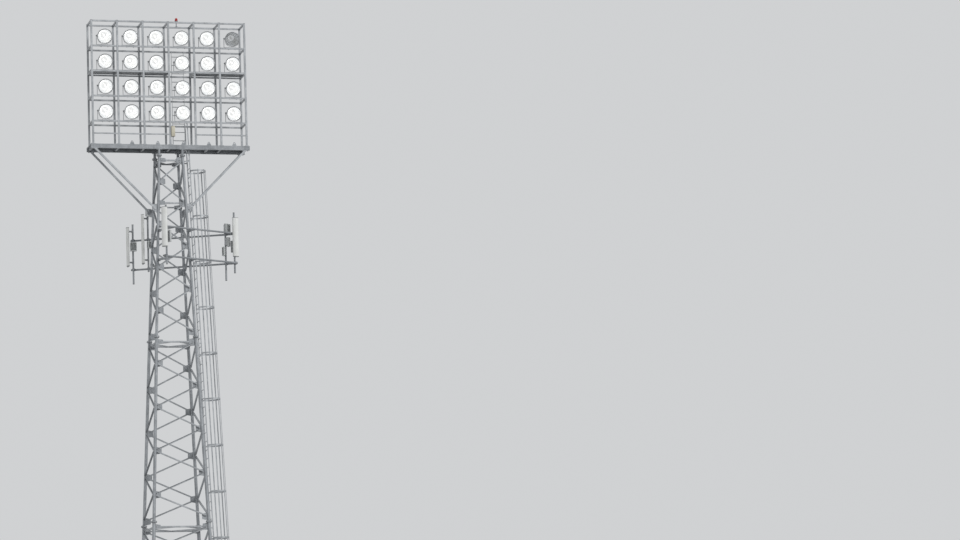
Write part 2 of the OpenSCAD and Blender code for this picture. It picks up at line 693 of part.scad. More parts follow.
// Bracket from a mast to the back of a panel: a saddle on the mast and two cheeks
panel_end = 130;
module panel_bracket(reach) {
    block([0, -38, -30], [pipe_d / 2 + 14, 38, 30]);
    for (s = [-1, 1])
        block([0, s * 22 - 3, -22], [reach, s * 22 + 3, 22]);
    block([reach - 8, -32, -30], [reach, 32, 30]);
}

// Panels: mast, direction faced, distance of the back from the mast's centre, bottom
// above the upper pipes and height
panels = [
    [0, -90, 185, -790, panel_h],
    [1, -125, 100, -690, panel_h],
    [2, 180, 135, -860, panel_h],
    [3, 180, 135, -810, long_panel_h],
];
module panel_antennas() color("#d7dadb")
    for (p = panels)
        translate(at_z(mast_xy(masts[p[0]]), antenna_top + p[3]))
            rotate([0, 0, p[1]]) translate([p[2], 0, 0]) radome(p[4]);

// A radome with a bowed front and rounded edges between two end caps, its back at x = 0
module radome(h) {
    translate([0, 0, 12]) linear_extrude(h - 24) radome_profile(panel_w - 8, panel_t - 4);
    for (z = [0, h - 14])
        translate([-2, 0, z]) linear_extrude(14) radome_profile(panel_w, panel_t);
    for (y = [-60, 0, 60])
        translate([panel_t * 0.45, y, -22]) cylinder(d = 22, h = 24, $fn = 24);
}

module radome_profile(w, t)
    polygon(concat([[0, 10 - w / 2], [10, -w / 2]],
                   [for (a = [-90 : 15 : 90])
                       [t * (0.5 + 0.5 * cos(a)), w / 2 * sin(a) * (1 - 0.12 * cos(a))]],
                   [[10, w / 2], [0, w / 2 - 10]]));

// Radio units: mast, direction, bottom above the upper pipes, width, depth and height
radio_t = 170;
radios = [
    [0, 80, -600, radio_w, radio_t, radio_h],
    [1, 60, -510, radio_w, radio_t, radio_h],
    [2, -90, -370, radio_w - 30, radio_t - 20, radio_h - 80],
    [3, -60, -300, unit_w, radio_t - 60, unit_h],
    [3, -60, long_panel_h - 890, radio_w - 30, radio_t - 20, unit_h],
    [4, -45, 60, radio_w - 30, radio_t - 20, unit_h + 30],
    [4, -20, -400, radio_w - 30, radio_t - 20, unit_h + 50],
    [4, -160, -710, unit_w, radio_t - 60, unit_h + 50],
];
module radio_units() color("#b9bec1")
    for (p = radios)
        translate(at_z(mast_xy(masts[p[0]]), antenna_top + p[2])) rotate([0, 0, p[1]])
            difference() {
                radio_unit(p[3], p[4], p[5]);
                translate([0, 0, -1]) cylinder(d = pipe_d, h = p[5] + 2, $fn = 24);
            }

// A radio unit with upright cooling fins on its front and a plain cover at each end
module radio_unit(w, t, h) {
    grooves = floor(w / 24);
    difference() {
        block([0, -w / 2, 0], [t, w / 2, h]);
        for (i = [1 : grooves])
            translate([t - 26, -w / 2 + i * w / (grooves + 1) - 5, 22]) cube([27, 10, h - 44]);
        for (s = [-1, 1])
            translate([t - 62, s * w / 2 - 6, 22]) cube([24, 12, h - 44]);
    }
    for (s = [-1, 1])
        translate([t * 0.6, s * w / 5, -16]) cylinder(d = 24, h = 18, $fn = 24);
}

// Red obstruction light on the rear frame's top rail, over the ladder's bay: a stem, a
// flared base and a ribbed glass dome
module obstruction_light() color("#8a2b22")
    translate([inner_ladder_x, half_top, frame_top + rail_w / 2]) {
        cylinder(d = 90, h = 8, $fn = fine);
        cylinder(d = 30, h = 160, $fn = 24);
        translate([0, 0, 150]) rotate_extrude($fn = fine)
            polygon(concat([[0, 0], [24, 0], [50, 22], [55, 40], [46, 46]],
                           [for (i = [0 : 5]) each [[50 - i, 52 + i * 13], [45 - i, 58 + i * 13]]],
                           [[34, 134], [18, 148], [0, 150]]));
    }

base_frame();
for (k = [1 : sections])
    tower_legs(k);
face_bracing(0);  // bracing_front
face_bracing(1);  // bracing_right
face_bracing(2);  // bracing_rear
face_bracing(3);  // bracing_left
plan_bracing();
ladder();
ladder_brackets();
ladder_cage();
knee_braces();
stub_posts();
main_chords();
platform_bearers();
platform_floor();
lifting_lugs();
frame_posts();
frame_rails();
cross_ties();
upper_walkway();
knee_rails();
inner_ladder();
junction_box();
for (r = [1 : lamp_rows])
    stirrups(r);
for (r = [1 : lamp_rows], c = [1 : head_cols])
    lamp(r, c);
antenna_pipes();
antenna_masts();
panel_antennas();
radio_units();
obstruction_light();
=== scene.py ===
"""Stadium floodlight pylon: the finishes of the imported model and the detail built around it.

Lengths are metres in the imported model's frame: +Z up, the floodlights face -Y. Outlines are
(radius, height) points of turned pieces or (x, y) points of extruded ones.
"""
import json
import logging
import math
from abc import ABC, abstractmethod
from dataclasses import dataclass
from enum import Enum
from typing import ClassVar, Dict, Iterable, List, Optional, Sequence, Tuple, Union

import bpy
from mathutils import Matrix, Vector


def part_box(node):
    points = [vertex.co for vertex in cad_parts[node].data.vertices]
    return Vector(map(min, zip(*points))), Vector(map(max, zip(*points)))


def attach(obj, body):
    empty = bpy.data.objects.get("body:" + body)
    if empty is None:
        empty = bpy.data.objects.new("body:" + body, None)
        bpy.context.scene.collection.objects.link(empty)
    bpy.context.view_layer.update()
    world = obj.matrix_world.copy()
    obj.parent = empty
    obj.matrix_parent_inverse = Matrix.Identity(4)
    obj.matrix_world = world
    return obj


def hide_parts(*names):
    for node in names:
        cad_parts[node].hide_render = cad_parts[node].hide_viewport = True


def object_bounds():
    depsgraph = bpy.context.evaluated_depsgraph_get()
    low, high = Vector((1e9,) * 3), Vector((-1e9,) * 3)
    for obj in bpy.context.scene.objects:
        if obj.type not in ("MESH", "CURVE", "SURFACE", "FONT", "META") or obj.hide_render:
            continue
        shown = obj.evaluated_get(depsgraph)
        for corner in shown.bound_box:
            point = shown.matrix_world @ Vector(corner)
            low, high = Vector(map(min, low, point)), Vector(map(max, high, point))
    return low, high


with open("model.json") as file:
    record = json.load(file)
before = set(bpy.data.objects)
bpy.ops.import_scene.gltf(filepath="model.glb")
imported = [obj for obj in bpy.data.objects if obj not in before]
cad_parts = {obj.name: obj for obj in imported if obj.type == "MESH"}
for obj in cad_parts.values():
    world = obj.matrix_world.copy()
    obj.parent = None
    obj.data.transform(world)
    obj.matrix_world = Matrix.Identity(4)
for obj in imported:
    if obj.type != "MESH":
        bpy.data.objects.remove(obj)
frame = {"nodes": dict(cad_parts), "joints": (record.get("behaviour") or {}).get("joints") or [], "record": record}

CAD_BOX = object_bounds()
LOG = logging.getLogger("pylon")
EAST, NORTH, UP = Vector((1, 0, 0)), Vector((0, 1, 0)), Vector((0, 0, 1))
SIDES = (-1, 1)
Span = Tuple[float, float]
Triple = Tuple[float, float, float]
Colour = Triple
Outline = Sequence[Span]
Rods = Sequence[Tuple[float, ...]]
Piece = bpy.types.Object


class Wire:
    """A node's output that takes part in Python expressions, each of which adds a Math node."""

    def __init__(self, recipe: "Recipe", socket: bpy.types.NodeSocket) -> None:
        """Keeps the socket and the recipe that it belongs to."""
        self.recipe, self.socket = recipe, socket

    def _math(self, operation: str, *terms: "Number") -> "Wire":
        """Adds a Math node on the terms."""
        return self.recipe.node("ShaderNodeMath", {"operation": operation}, dict(enumerate(terms)))

    def __add__(self, other: "Number") -> "Wire":
        """The sum."""
        return self._math("ADD", self, other)

    def __sub__(self, other: "Number") -> "Wire":
        """The difference."""
        return self._math("SUBTRACT", self, other)

    def __rsub__(self, other: "Number") -> "Wire":
        """The difference from a number."""
        return self._math("SUBTRACT", other, self)

    def __mul__(self, other: "Number") -> "Wire":
        """The product."""
        return self._math("MULTIPLY", self, other)

    __radd__, __rmul__ = __add__, __mul__

    def wave(self) -> "Wire":
        """The sine, in radians."""
        return self._math("SINE", self)

    def turn_from(self, across: "Wire") -> "Wire":
        """The angle of a direction that goes this far up and the other value across."""
        return self._math("ARCTAN2", self, across)

    def held(self) -> "Wire":
        """The value kept between 0 and 1."""
        return self.recipe.node("ShaderNodeClamp", {}, {0: self})


Number = Union[Wire, float]


class Recipe:
    """A material under construction: its Principled shader and the place that its pattern reads."""

    def __init__(self, name: str, attribute: Optional[str] = None) -> None:
        """Starts a material.

        Args:
            name: The material's name.
            attribute: A mesh attribute with the pattern's coordinates, or None for Object ones.
        """
        self.material = bpy.data.materials.new(name)
        self.material.use_nodes = True
        self.tree = self.material.node_tree
        self.shader = self.tree.nodes["Principled BSDF"]
        if attribute:
            settings = {"attribute_name": attribute}
            self.place = self.node("ShaderNodeAttribute", settings, {}, "Vector")
        else:
            self.place = self.node("ShaderNodeTexCoord", {}, {}, "Object")

    def node(self, kind: str, settings: dict, sockets: dict, output: Union[int, str] = 0) -> Wire:
        """Adds a node.

        Args:
            kind: The node's type.
            settings: Its own settings, which are set first.
            sockets: Values or wires for its inputs, by name or number.
            output: The output that is wanted.

        Returns:
            That output.
        """
        made = self.tree.nodes.new(kind)
        for name, value in settings.items():
            setattr(made, name, value)
        for key, value in sockets.items():
            self.plug(made.inputs[key], value)
        return Wire(self, made.outputs[output])

    def plug(self, socket: bpy.types.NodeSocket, value: Union[Number, Sequence[float]]) -> None:
        """Links a wire to a socket, or sets its value."""
        if isinstance(value, Wire):
            self.tree.links.new(value.socket, socket)
        else:
            socket.default_value = value

    def stretched(self, x: float, y: float, z: float) -> Wire:
        """The pattern's place with each direction scaled."""
        sockets = {"Vector": self.place, "Scale": (x, y, z)}
        return self.node("ShaderNodeMapping", {}, sockets)

    def noise(self, size: float, detail: float = 3.0, place: Optional[Wire] = None) -> Wire:
        """Noise with blotches about size metres across, or that many units of another place."""
        sockets = {"Vector": place or self.place, "Scale": 1 / size, "Detail": detail}
        return self.node("ShaderNodeTexNoise", {}, {**sockets, "Roughness": 0.55})

    def grains(self, size: float) -> Wire:
        """A random value for each crystal of about size metres."""
        sockets = {"Vector": self.place, "Scale": 1 / size}
        cells = self.node("ShaderNodeTexVoronoi", {}, sockets, "Color")
        return self.node("ShaderNodeSeparateColor", {}, {0: cells})

    def radius(self) -> Wire:
        """The distance from the pattern's Z axis."""
        level = self.stretched(1, 1, 0)
        return self.node("ShaderNodeVectorMath", {"operation": "LENGTH"}, {0: level}, "Value")

    def petals(self, count: float) -> Wire:
        """A wave that rises and falls count times round the pattern's Z axis."""
        across, upward = (self.node("ShaderNodeSeparateXYZ", {}, {0: self.place}, k) for k in "XY")
        return (upward.turn_from(across) * count).wave()

    def step(self, value: Wire, low: float, high: float) -> Wire:
        """A smooth rise from 0 at low to 1 at high."""
        sockets = {"Value": value, "From Min": low, "From Max": high}
        return self.node("ShaderNodeMapRange", {"interpolation_type": "SMOOTHSTEP"}, sockets)

    def blend(self, share: Number, first: Union[Wire, Colour], second: Union[Wire, Colour]) -> Wire:
        """The first colour turned into the second one by a share."""
        pair = [c if isinstance(c, Wire) else (*c, 1) for c in (first, second)]
        sockets = {0: share, 6: pair[0], 7: pair[1]}
        return self.node("ShaderNodeMix", {"data_type": "RGBA"}, sockets, 2)

    def feed(self, **inputs: Union[Wire, float, Colour]) -> None:
        """Sets or links the shader's sockets; an underscore stands for a space."""
        for name, value in inputs.items():
            value = (*value, 1) if isinstance(value, tuple) else value
            self.plug(self.shader.inputs[name.replace("_", " ")], value)

    def relief(self, height: Wire, depth: float, strength: float) -> None:
        """Feeds a bump of that depth, in metres, to the shader."""
        sockets = {"Height": height, "Distance": depth, "Strength": strength}
        self.feed(Normal=self.node("ShaderNodeBump", {}, sockets))


@dataclass(frozen=True)
class Finish(ABC):
    """A finish and the sizes of its pattern."""

    name: str

    @abstractmethod
    def make(self) -> bpy.types.Material:
        """Builds the material."""


@dataclass(frozen=True)
class Zinc(Finish):
    """Hot-dip galvanised steel: crystals, dull blotches and run-off streaks."""

    dark: Colour
    light: Colour
    crystal: float = 0.016
    streaks: float = 0.5
    rough: float = 0.5
    metal: float = 0.55
    blotch: float = 0.35
    chalk: float = 0.05
    pit: float = 0.006
    run: Triple = (14, 14, 0.9)
    stain: Colour = (0.74, 0.7, 0.66)
    depth: float = 0.0012

    def make(self) -> bpy.types.Material:
        """Builds the material."""
        r = Recipe(self.name)
        crystals = r.grains(self.crystal)
        blotches = r.step(r.noise(self.blotch, 4), 0.35, 0.68)
        runs = r.step(r.noise(1, 4, r.stretched(*self.run)), 0.5, 0.75)
        chalk = r.step(r.noise(self.chalk), 0.45, 0.7)
        share = blotches * 0.45 + crystals * 0.3 + chalk * 0.25 - runs * (0.4 * self.streaks)
        bare = r.blend(share.held(), self.dark, self.light)
        stain = tuple(c * tint for c, tint in zip(self.dark, self.stain))
        r.feed(Base_Color=r.blend(runs * (0.45 * self.streaks), bare, stain), Metallic=self.metal,
               Roughness=(self.rough - crystals * 0.12 + chalk * 0.14).held())
        pits = r.noise(self.pit, 2)
        r.relief(crystals * 0.25 + pits * 0.6 + blotches * 0.3, self.depth, 0.35)
        return r.material


@dataclass(frozen=True)
class Aluminium(Finish):
    """Bare aluminium: die-cast with a fine grain, or turned with rings round the lamp's axis."""

    colour: Colour
    turned: bool = False
    rough: float = 0.42
    rings: float = 900.0
    grain: float = 0.0025
    oxide: float = 0.06
    dust: float = 0.2
    dull: float = 0.68
    depth: float = 0.0004

    def make(self) -> bpy.types.Material:
        """Builds the material."""
        r = Recipe(self.name, Floodlight.OWN_PLACE)
        oxide = r.step(r.noise(self.oxide, 4), 0.4, 0.7)
        dust = r.step(r.noise(self.dust), 0.45, 0.75)
        if self.turned:
            rings = r.node("ShaderNodeCombineXYZ", {}, {0: r.radius() * self.rings})
            lines = r.noise(1, 2, rings)
        else:
            lines = r.noise(self.grain, 2)
        dull = tuple(self.dull * c for c in self.colour)
        r.feed(Base_Color=r.blend(oxide * 0.5 + dust * 0.35, self.colour, dull), Metallic=0.8,
               Roughness=(lines * 0.16 + oxide * 0.16 + (self.rough - 0.1)).held())
        r.relief(lines, self.depth, 0.4)
        return r.material


@dataclass(frozen=True)
class Mirror(Finish):
    """The reflector's bright inside; when lit, the tube's light on it is painted as an emission glow, brightest
    towards its middle.
    """

    lit: bool
    bright: Colour = (0.86, 0.87, 0.88)
    hazy: Colour = (0.66, 0.67, 0.69)
    # glow and dim: the colours of the painted light at the reflector's middle and at its rim.
    glow: Colour = (0.4, 0.395, 0.38)
    dim: Colour = (0.02, 0.026, 0.04)
    edge: Span = (0.05, 0.24)
    rings: float = 330.0
    facets: float = 28.0

    def make(self) -> bpy.types.Material:
        """Builds the material."""
        r = Recipe(self.name, Floodlight.OWN_PLACE)
        # A haze on the mirror's surface, which also mottles the painted glow.
        haze_and_glow_mottle = r.noise(0.03)
        r.feed(Base_Color=r.blend(haze_and_glow_mottle * 0.4, self.bright, self.hazy), Metallic=1.0,
               Roughness=haze_and_glow_mottle * 0.14 + 0.12)
        if self.lit:
            # Painted light: the tube's light on the reflector as emission, fading towards the rim, with painted
            # glints of its rings and facets.
            edge = r.step(r.radius(), *self.edge)
            facets = (r.radius() * self.rings).wave() * 0.14 + r.petals(self.facets) * 0.16
            glow = (1.0 - edge * (facets + haze_and_glow_mottle * 0.3 + 0.55)).held()
            r.feed(Emission_Color=r.blend(glow, self.dim, self.glow), Emission_Strength=1.0)
        return quiet(r.material)


@dataclass(frozen=True)
class Glow(Finish):
    """The quartz tube and its white holder, lit or cold: the lit tube is a lamp, and the lit holder's glow is
    painted glare of the tube.
    """

    colour: Colour
    strength: float = 0.0
    aged: Colour = (0.6, 0.6, 0.58)
    white: Colour = (1.0, 0.99, 0.95)
    warm: Colour = (1.0, 0.95, 0.85)

    def make(self) -> bpy.types.Material:
        """Builds the material."""
        r = Recipe(self.name, Floodlight.OWN_PLACE)
        # A haze that ages the colour and also mottles the glow.
        haze_and_glow_mottle = r.noise(0.01, 2)
        colour = r.blend(haze_and_glow_mottle * 0.25, self.colour, self.aged)
        r.feed(Base_Color=colour, Roughness=haze_and_glow_mottle * 0.2 + 0.15)
        # Emission: the tube's own light, and on the holder painted glare, since the holder is no lamp.
        if self.strength:
            light = r.blend(haze_and_glow_mottle * 0.1, self.white, self.warm)
            r.feed(Emission_Color=light, Emission_Strength=self.strength)
        return quiet(r.material)


@dataclass(frozen=True)
class Glass(Finish):
    """A thin toughened front glass with a film of dust."""

    body: float = 0.06
    clean: Colour = (0.86, 0.9, 0.9)
    dusty: Colour = (0.7, 0.7, 0.66)

    def make(self) -> bpy.types.Material:
        """Builds the material."""
        r = Recipe(self.name, Floodlight.OWN_PLACE)
        dust = r.step(r.noise(0.09, 5), 0.42, 0.8)
        r.feed(Base_Color=r.blend(dust, self.clean, self.dusty), Roughness=dust * 0.22 + 0.03,
               Alpha=dust * 0.08 + self.body, IOR=1.5)
        return r.material


@dataclass(frozen=True)
class Moulding(Finish):
    """Plastic, rubber or powder coat: a colour aged by dust, rain marks and fine texture."""

    colour: Colour
    aged: Colour
    texture: float = 0.004
    rough: float = 0.45
    coat: float = 0.0
    rain: Triple = (22, 22, 1.4)
    fade: float = 0.4
    depth: float = 0.0005

    def make(self) -> bpy.types.Material:
        """Builds the material."""
        r = Recipe(self.name)
        skin = r.noise(self.texture, 2)
        rain = r.step(r.noise(1, 4, r.stretched(*self.rain)), 0.48, 0.75)
        fade = r.step(r.noise(self.fade), 0.35, 0.7)
        colour = r.blend((rain * 0.45 + fade * 0.4).held(), self.colour, self.aged)
        rough = (skin * 0.12 + fade * 0.12 + (self.rough - 0.08)).held()
        r.feed(Base_Color=colour, Roughness=rough, Coat_Weight=self.coat, Coat_Roughness=0.25)
        r.relief(skin, self.depth, 0.35)
        return r.material


def quiet(material: bpy.types.Material) -> bpy.types.Material:
    """Keeps a glowing material from lighting the object, which is the studio's work."""
    material.cycles.emission_sampling = "NONE"
    return material


class Finishes(Enum):
    """Every finish on the pylon."""

    LEG = Zinc("zinc_legs", (0.22, 0.233, 0.246), (0.40, 0.418, 0.436))
    BRACE = Zinc("zinc_angles", (0.27, 0.284, 0.298), (0.46, 0.478, 0.495), 0.012)
    LADDER = Zinc("zinc_ladder", (0.31, 0.325, 0.34), (0.52, 0.538, 0.555), 0.01, 0.35)
    FRAME = Zinc("zinc_frame", (0.28, 0.294, 0.308), (0.49, 0.508, 0.525), 0.014, 0.4)
    CHORD = Zinc("zinc_chords", (0.21, 0.223, 0.236), (0.37, 0.387, 0.404), 0.02)
    STIRRUP = Zinc("zinc_stirrups", (0.16, 0.17, 0.18), (0.29, 0.302, 0.314), 0.012, 0.6)
    GRATING = Zinc("zinc_grating", (0.2, 0.213, 0.226), (0.35, 0.366, 0.382), 0.01, 0.3)
    BOLT = Zinc("zinc_bolts", (0.3, 0.31, 0.32), (0.5, 0.512, 0.524), 0.006, 0.5, 0.45, 0.7)
    WELD = Zinc("zinc_welds", (0.2, 0.212, 0.224), (0.35, 0.363, 0.376), 0.006, 0.2, 0.55, 0.5)
    CASTING = Aluminium("lamp_casting", (0.5, 0.512, 0.52))
    SPUN = Aluminium("lamp_shell", (0.62, 0.632, 0.64), True, 0.36)
    REFLECTOR_LIT = Mirror("reflector_lit", True)
    REFLECTOR_DARK = Mirror("reflector_dark", False)
    TUBE_LIT = Glow("tube_lit", (0.95, 0.95, 0.95), 2.5)
    TUBE_DARK = Glow("tube_dark", (0.72, 0.74, 0.75))
    # Painted light: the lit holder's emission is the tube's glare painted on the ceramic.
    HOLDER_LIT = Glow("ceramic_lit", (0.85, 0.84, 0.8), 0.35)
    HOLDER_DARK = Glow("ceramic", (0.85, 0.84, 0.8))
    FRONT_GLASS = Glass("front_glass")
    RADOME = Moulding("radome", (0.72, 0.73, 0.72), (0.55, 0.55, 0.52), 0.003, 0.42)
    END_CAP = Moulding("end_cap", (0.2, 0.208, 0.215), (0.29, 0.29, 0.28), 0.002, 0.5)
    RADIO = Moulding("radio_coat", (0.56, 0.58, 0.58), (0.43, 0.44, 0.43), 0.002, 0.5)
    BOX = Moulding("box_coat", (0.52, 0.49, 0.39), (0.38, 0.36, 0.3), 0.0025, 0.48)
    RUBBER = Moulding("rubber", (0.045, 0.045, 0.048), (0.11, 0.11, 0.105), 0.0015, 0.7)
    RED_GLASS = Moulding("signal_glass", (0.48, 0.025, 0.018), (0.36, 0.03, 0.025), 0.02, 0.16, 0.6)


class PaintShop:
    """Makes each finish once and gives it to the pieces."""

    def __init__(self) -> None:
        """Starts with an empty shelf."""
        self.shelf: Dict[Finishes, bpy.types.Material] = {}

    def coat(self, piece: Piece, finish: Finishes) -> Piece:
        """Gives a piece one finish all over."""
        if finish not in self.shelf:
            self.shelf[finish] = finish.value.make()
        piece.data.materials.clear()
        piece.data.materials.append(self.shelf[finish])
        return piece


def way(turn: float) -> Vector:
    """The level direction at an angle from +X, in radians."""
    return Vector((math.cos(turn), math.sin(turn), 0))


def placed(at: Vector, z: Vector = UP, x: Vector = EAST) -> Matrix:
    """A place whose Z axis runs along z and whose X axis is as near to x as it can be."""
    z = z.normalized()
    y = z.cross(x).normalized()
    return Matrix.Translation(at) @ Matrix((y.cross(z), y, z)).transposed().to_4x4()


def circle(count: int, first: float) -> List[Matrix]:
    """Turns that share a circle round the Z axis evenly, the first one at an angle in degrees."""
    return [Matrix.Rotation(math.radians(first + i * 360 / count), 4, "Z") for i in range(count)]


def moved(outline: Outline, across: float, up: float = 0.0) -> List[Span]:
    """An outline whose points are all moved alike."""
    return [(x + across, y + up) for x, y in outline]


class Bench:
    """The modelling bench: primitives, edit-mode operators and modifiers applied at once."""

    def __init__(self, paint: PaintShop) -> None:
        """Keeps the paint shop."""
        self.paint = paint

    @staticmethod
    def pick(*pieces: Piece) -> None:
        """Selects only these pieces and makes the first one active."""
        bpy.ops.object.select_all(action="DESELECT")
        for piece in pieces:
            piece.select_set(True)
        bpy.context.view_layer.objects.active = pieces[0]

    @staticmethod
    def settle() -> Piece:
        """Puts the active primitive's place, turn and scale into its mesh."""
        bpy.ops.object.transform_apply(location=True, rotation=True, scale=True)
        return bpy.context.object

    def block(self, low: Sequence[float], high: Sequence[float]) -> Piece:
        """A block between two corners."""
        bpy.ops.object.select_all(action="DESELECT")
        low, high = Vector(low), Vector(high)
        bpy.ops.mesh.primitive_cube_add(size=1, location=(low + high) / 2, scale=high - low)
        return self.settle()

    def slab(self, low: Sequence[float], high: Sequence[float], width: float,
             segments: int = 1) -> Piece:
        """A block between two corners, with bevelled edges."""
        return self.bevel(self.block(low, high), width, segments)

    def rod(self, start: Sequence[float], end: Sequence[float], radius: float, sides: int,
            end_radius: Optional[float] = None) -> Piece:
        """A round or many-sided bar.

        Args:
            start: The middle of its first end.
            end: The middle of its other end.
            radius: The radius, at its corners.
            sides: How many sides it has.
            end_radius: The radius at its other end, if that differs.

        Returns:
            The bar.
        """
        bpy.ops.object.select_all(action="DESELECT")
        start, end = Vector(start), Vector(end)
        turn = (end - start).to_track_quat("Z", "Y").to_euler()
        bpy.ops.mesh.primitive_cone_add(vertices=sides, radius1=radius, depth=(end - start).length,
                                        radius2=radius if end_radius is None else end_radius,
                                        location=(start + end) / 2, rotation=turn)
        return self.settle()

    def stack(self, foot: Vector, toward: Vector, rods: Rods) -> List[Piece]:
        """Rods on one axis.

        Args:
            foot: The point that the axis starts from.
            toward: The axis's direction.
            rods: The start and end along the axis of each rod, its radius and sides, and its
                radius at the end if that differs.

        Returns:
            The rods.
        """
        return [self.rod(foot + toward * low, foot + toward * high, *size)
                for low, high, *size in rods]

    @staticmethod
    def trace(points: Sequence[Vector], closed: bool) -> None:
        """Draws a line through points in edit mode and leaves it selected."""
        bpy.ops.object.select_all(action="DESELECT")
        bpy.ops.mesh.primitive_plane_add(size=1)
        bpy.ops.object.mode_set(mode="EDIT")
        bpy.ops.mesh.select_mode(type="VERT")
        bpy.ops.mesh.select_all(action="SELECT")
        bpy.ops.mesh.merge(type="CENTER")
        bpy.ops.transform.translate(value=points[0])
        for last, point in zip(points, points[1:] + ([points[0]] if closed else [])):
            bpy.ops.mesh.extrude_vertices_move(TRANSFORM_OT_translate={"value": point - last})
        bpy.ops.mesh.select_all(action="SELECT")
        bpy.ops.mesh.remove_doubles(threshold=1e-5)

    def turned(self, outline: Outline, sides: int, closed: bool = False) -> Piece:
        """Spins an outline round the Z axis.

        Args:
            outline: (radius, height) points.
            sides: Steps of the whole turn.
            closed: True where the outline's last point joins its first.

        Returns:
            The turned piece, its faces outwards.
        """
        self.trace([Vector((radius, 0, height)) for radius, height in outline], closed)
        bpy.ops.mesh.spin(steps=sides, angle=2 * math.pi, center=(0, 0, 0), axis=(0, 0, 1))
        return self.tidy()

    def prism(self, outline: Outline, low: float, high: float) -> Piece:
        """Extrudes an outline of (x, y) points from one height to another."""
        self.trace([Vector((x, y, low)) for x, y in outline], True)
        bpy.ops.mesh.edge_face_add()
        bpy.ops.mesh.extrude_region_move(TRANSFORM_OT_translate={"value": (0, 0, high - low)})
        return self.tidy()

    @staticmethod
    def tidy() -> Piece:
        """Merges doubles, turns the faces outwards and leaves edit mode."""
        bpy.ops.mesh.select_all(action="SELECT")
        bpy.ops.mesh.remove_doubles(threshold=1e-5)
        bpy.ops.mesh.normals_make_consistent(inside=False)
        bpy.ops.object.mode_set(mode="OBJECT")
        return bpy.context.object

    def inset(self, piece: Piece, toward: Vector, border: float, rise: float) -> Piece:
        """Insets the faces that look one way and moves them out.

        Args:
            piece: The piece.
            toward: The direction that the faces look.
            border: The width of the border that stays.
            rise: How far the inner face moves along the direction.

        Returns:
            The same piece.
        """
        self.pick(piece)
        mesh = piece.data
        for group in (mesh.vertices, mesh.edges):
            group.foreach_set("select", [False] * len(group))
        facing = [face.normal.dot(toward) > 0.9 for face in mesh.polygons]
        mesh.polygons.foreach_set("select", facing)
        bpy.ops.object.mode_set(mode="EDIT")
        bpy.ops.mesh.select_mode(type="FACE")
        bpy.ops.mesh.inset(thickness=border, depth=0)
        bpy.ops.mesh.extrude_region_move(TRANSFORM_OT_translate={"value": toward * rise})
        bpy.ops.object.mode_set(mode="OBJECT")
        return piece

    def modify(self, piece: Piece, kind: str, **settings: object) -> Piece:
        """Adds a modifier with those settings and applies it."""
        self.pick(piece)
        modifier = piece.modifiers.new(kind.lower(), kind)
        for name, value in settings.items():
            setattr(modifier, name, value)
        bpy.ops.object.modifier_apply(modifier=modifier.name)
        return piece

    def bevel(self, piece: Piece, width: float, segments: int = 2) -> Piece:
        """Rounds the sharp edges of a piece."""
        return self.modify(piece, "BEVEL", width=width, segments=segments, limit_method="ANGLE",
                           angle_limit=math.radians(35), harden_normals=False)

    def repeat(self, piece: Piece, count: int, step: Sequence[float]) -> Piece:
        """Repeats a piece in a row."""
        return self.modify(piece, "ARRAY", count=count, use_relative_offset=False,
                           use_constant_offset=True, constant_offset_displace=Vector(step))

    def smooth(self, piece: Piece, angle: float = 32) -> Piece:
        """Smooths the faces that meet at less than an angle in degrees."""
        self.pick(piece)
        bpy.ops.object.shade_smooth_by_angle(angle=math.radians(angle))
        return piece

    def join(self, pieces: Sequence[Piece]) -> Piece:
        """Joins pieces into the first one."""
        self.pick(*pieces)
        if len(pieces) > 1:
            bpy.ops.object.join()
        return pieces[0]

    def finish(self, pieces: Sequence[Piece], finish: Finishes, angle: float = 32) -> Piece:
        """Smooths pieces, joins them and gives them one finish."""
        return self.paint.coat(self.join([self.smooth(piece, angle) for piece in pieces]), finish)

    def copies(self, model: Piece, places: Iterable[Matrix]) -> List[Piece]:
        """Copies a model to each place, every copy with its own mesh."""
        made = []
        for place in places:
            copy = bpy.data.objects.new(model.name, model.data.copy())
            copy.data.transform(place)
            bpy.context.scene.collection.objects.link(copy)
            made.append(copy)
        return made

    def spread(self, model: Piece, places: Iterable[Matrix]) -> Piece:
        """Copies a model to each place, joins the copies and removes the model."""
        made = self.join(self.copies(model, places))
        bpy.data.objects.remove(model)
        return made

    def deliver(self, piece: Piece, name: str, slot: str = "galvanised_steel",
                replaced: Sequence[str] = (), body: str = "root") -> None:
        """Names a finished piece and makes it ride.

        Args:
            piece: The finished piece.
            name: Its name.
            slot: Not used.
            replaced: CAD nodes that it stands for.
            body: The body that it moves with.
        """
        piece.name = piece.data.name = name
        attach(piece, body)
        if replaced:
            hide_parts(*replaced)
        LOG.info("%s rides on %s, %d faces", name, body, len(piece.data.polygons))


@dataclass
class Solid:
    """The corners of one loose solid of a CAD node."""

    corners: Sequence[Vector]

    def box(self) -> Tuple[Vector, Vector]:
        """The lowest and highest corner of the solid's box."""
        low, high = (Vector([end(c[i] for c in self.corners) for i in range(3)])
                     for end in (min, max))
        return low, high

    def foot(self) -> Vector:
        """The middle of the box's underside."""
        low, high = self.box()
        return Vector(((low.x + high.x) / 2, (low.y + high.y) / 2, low.z))

    def reach(self, direction: Vector) -> Span:
        """The lowest and highest place along a direction."""
        places = [corner.dot(direction) for corner in self.corners]
        return min(places), max(places)

    def ends(self) -> Tuple[Vector, Vector]:
        """The middles of both ends of a long bar."""
        centre = sum(self.corners, Vector()) / len(self.corners)
        far = max(self.corners, key=lambda corner: (corner - centre).length) - centre
        halves = [[c for c in self.corners if ((c - centre).dot(far) > 0) == side]
                  for side in (False, True)]
        first, second = (sum(half, Vector()) / len(half) for half in halves)
        return first, second


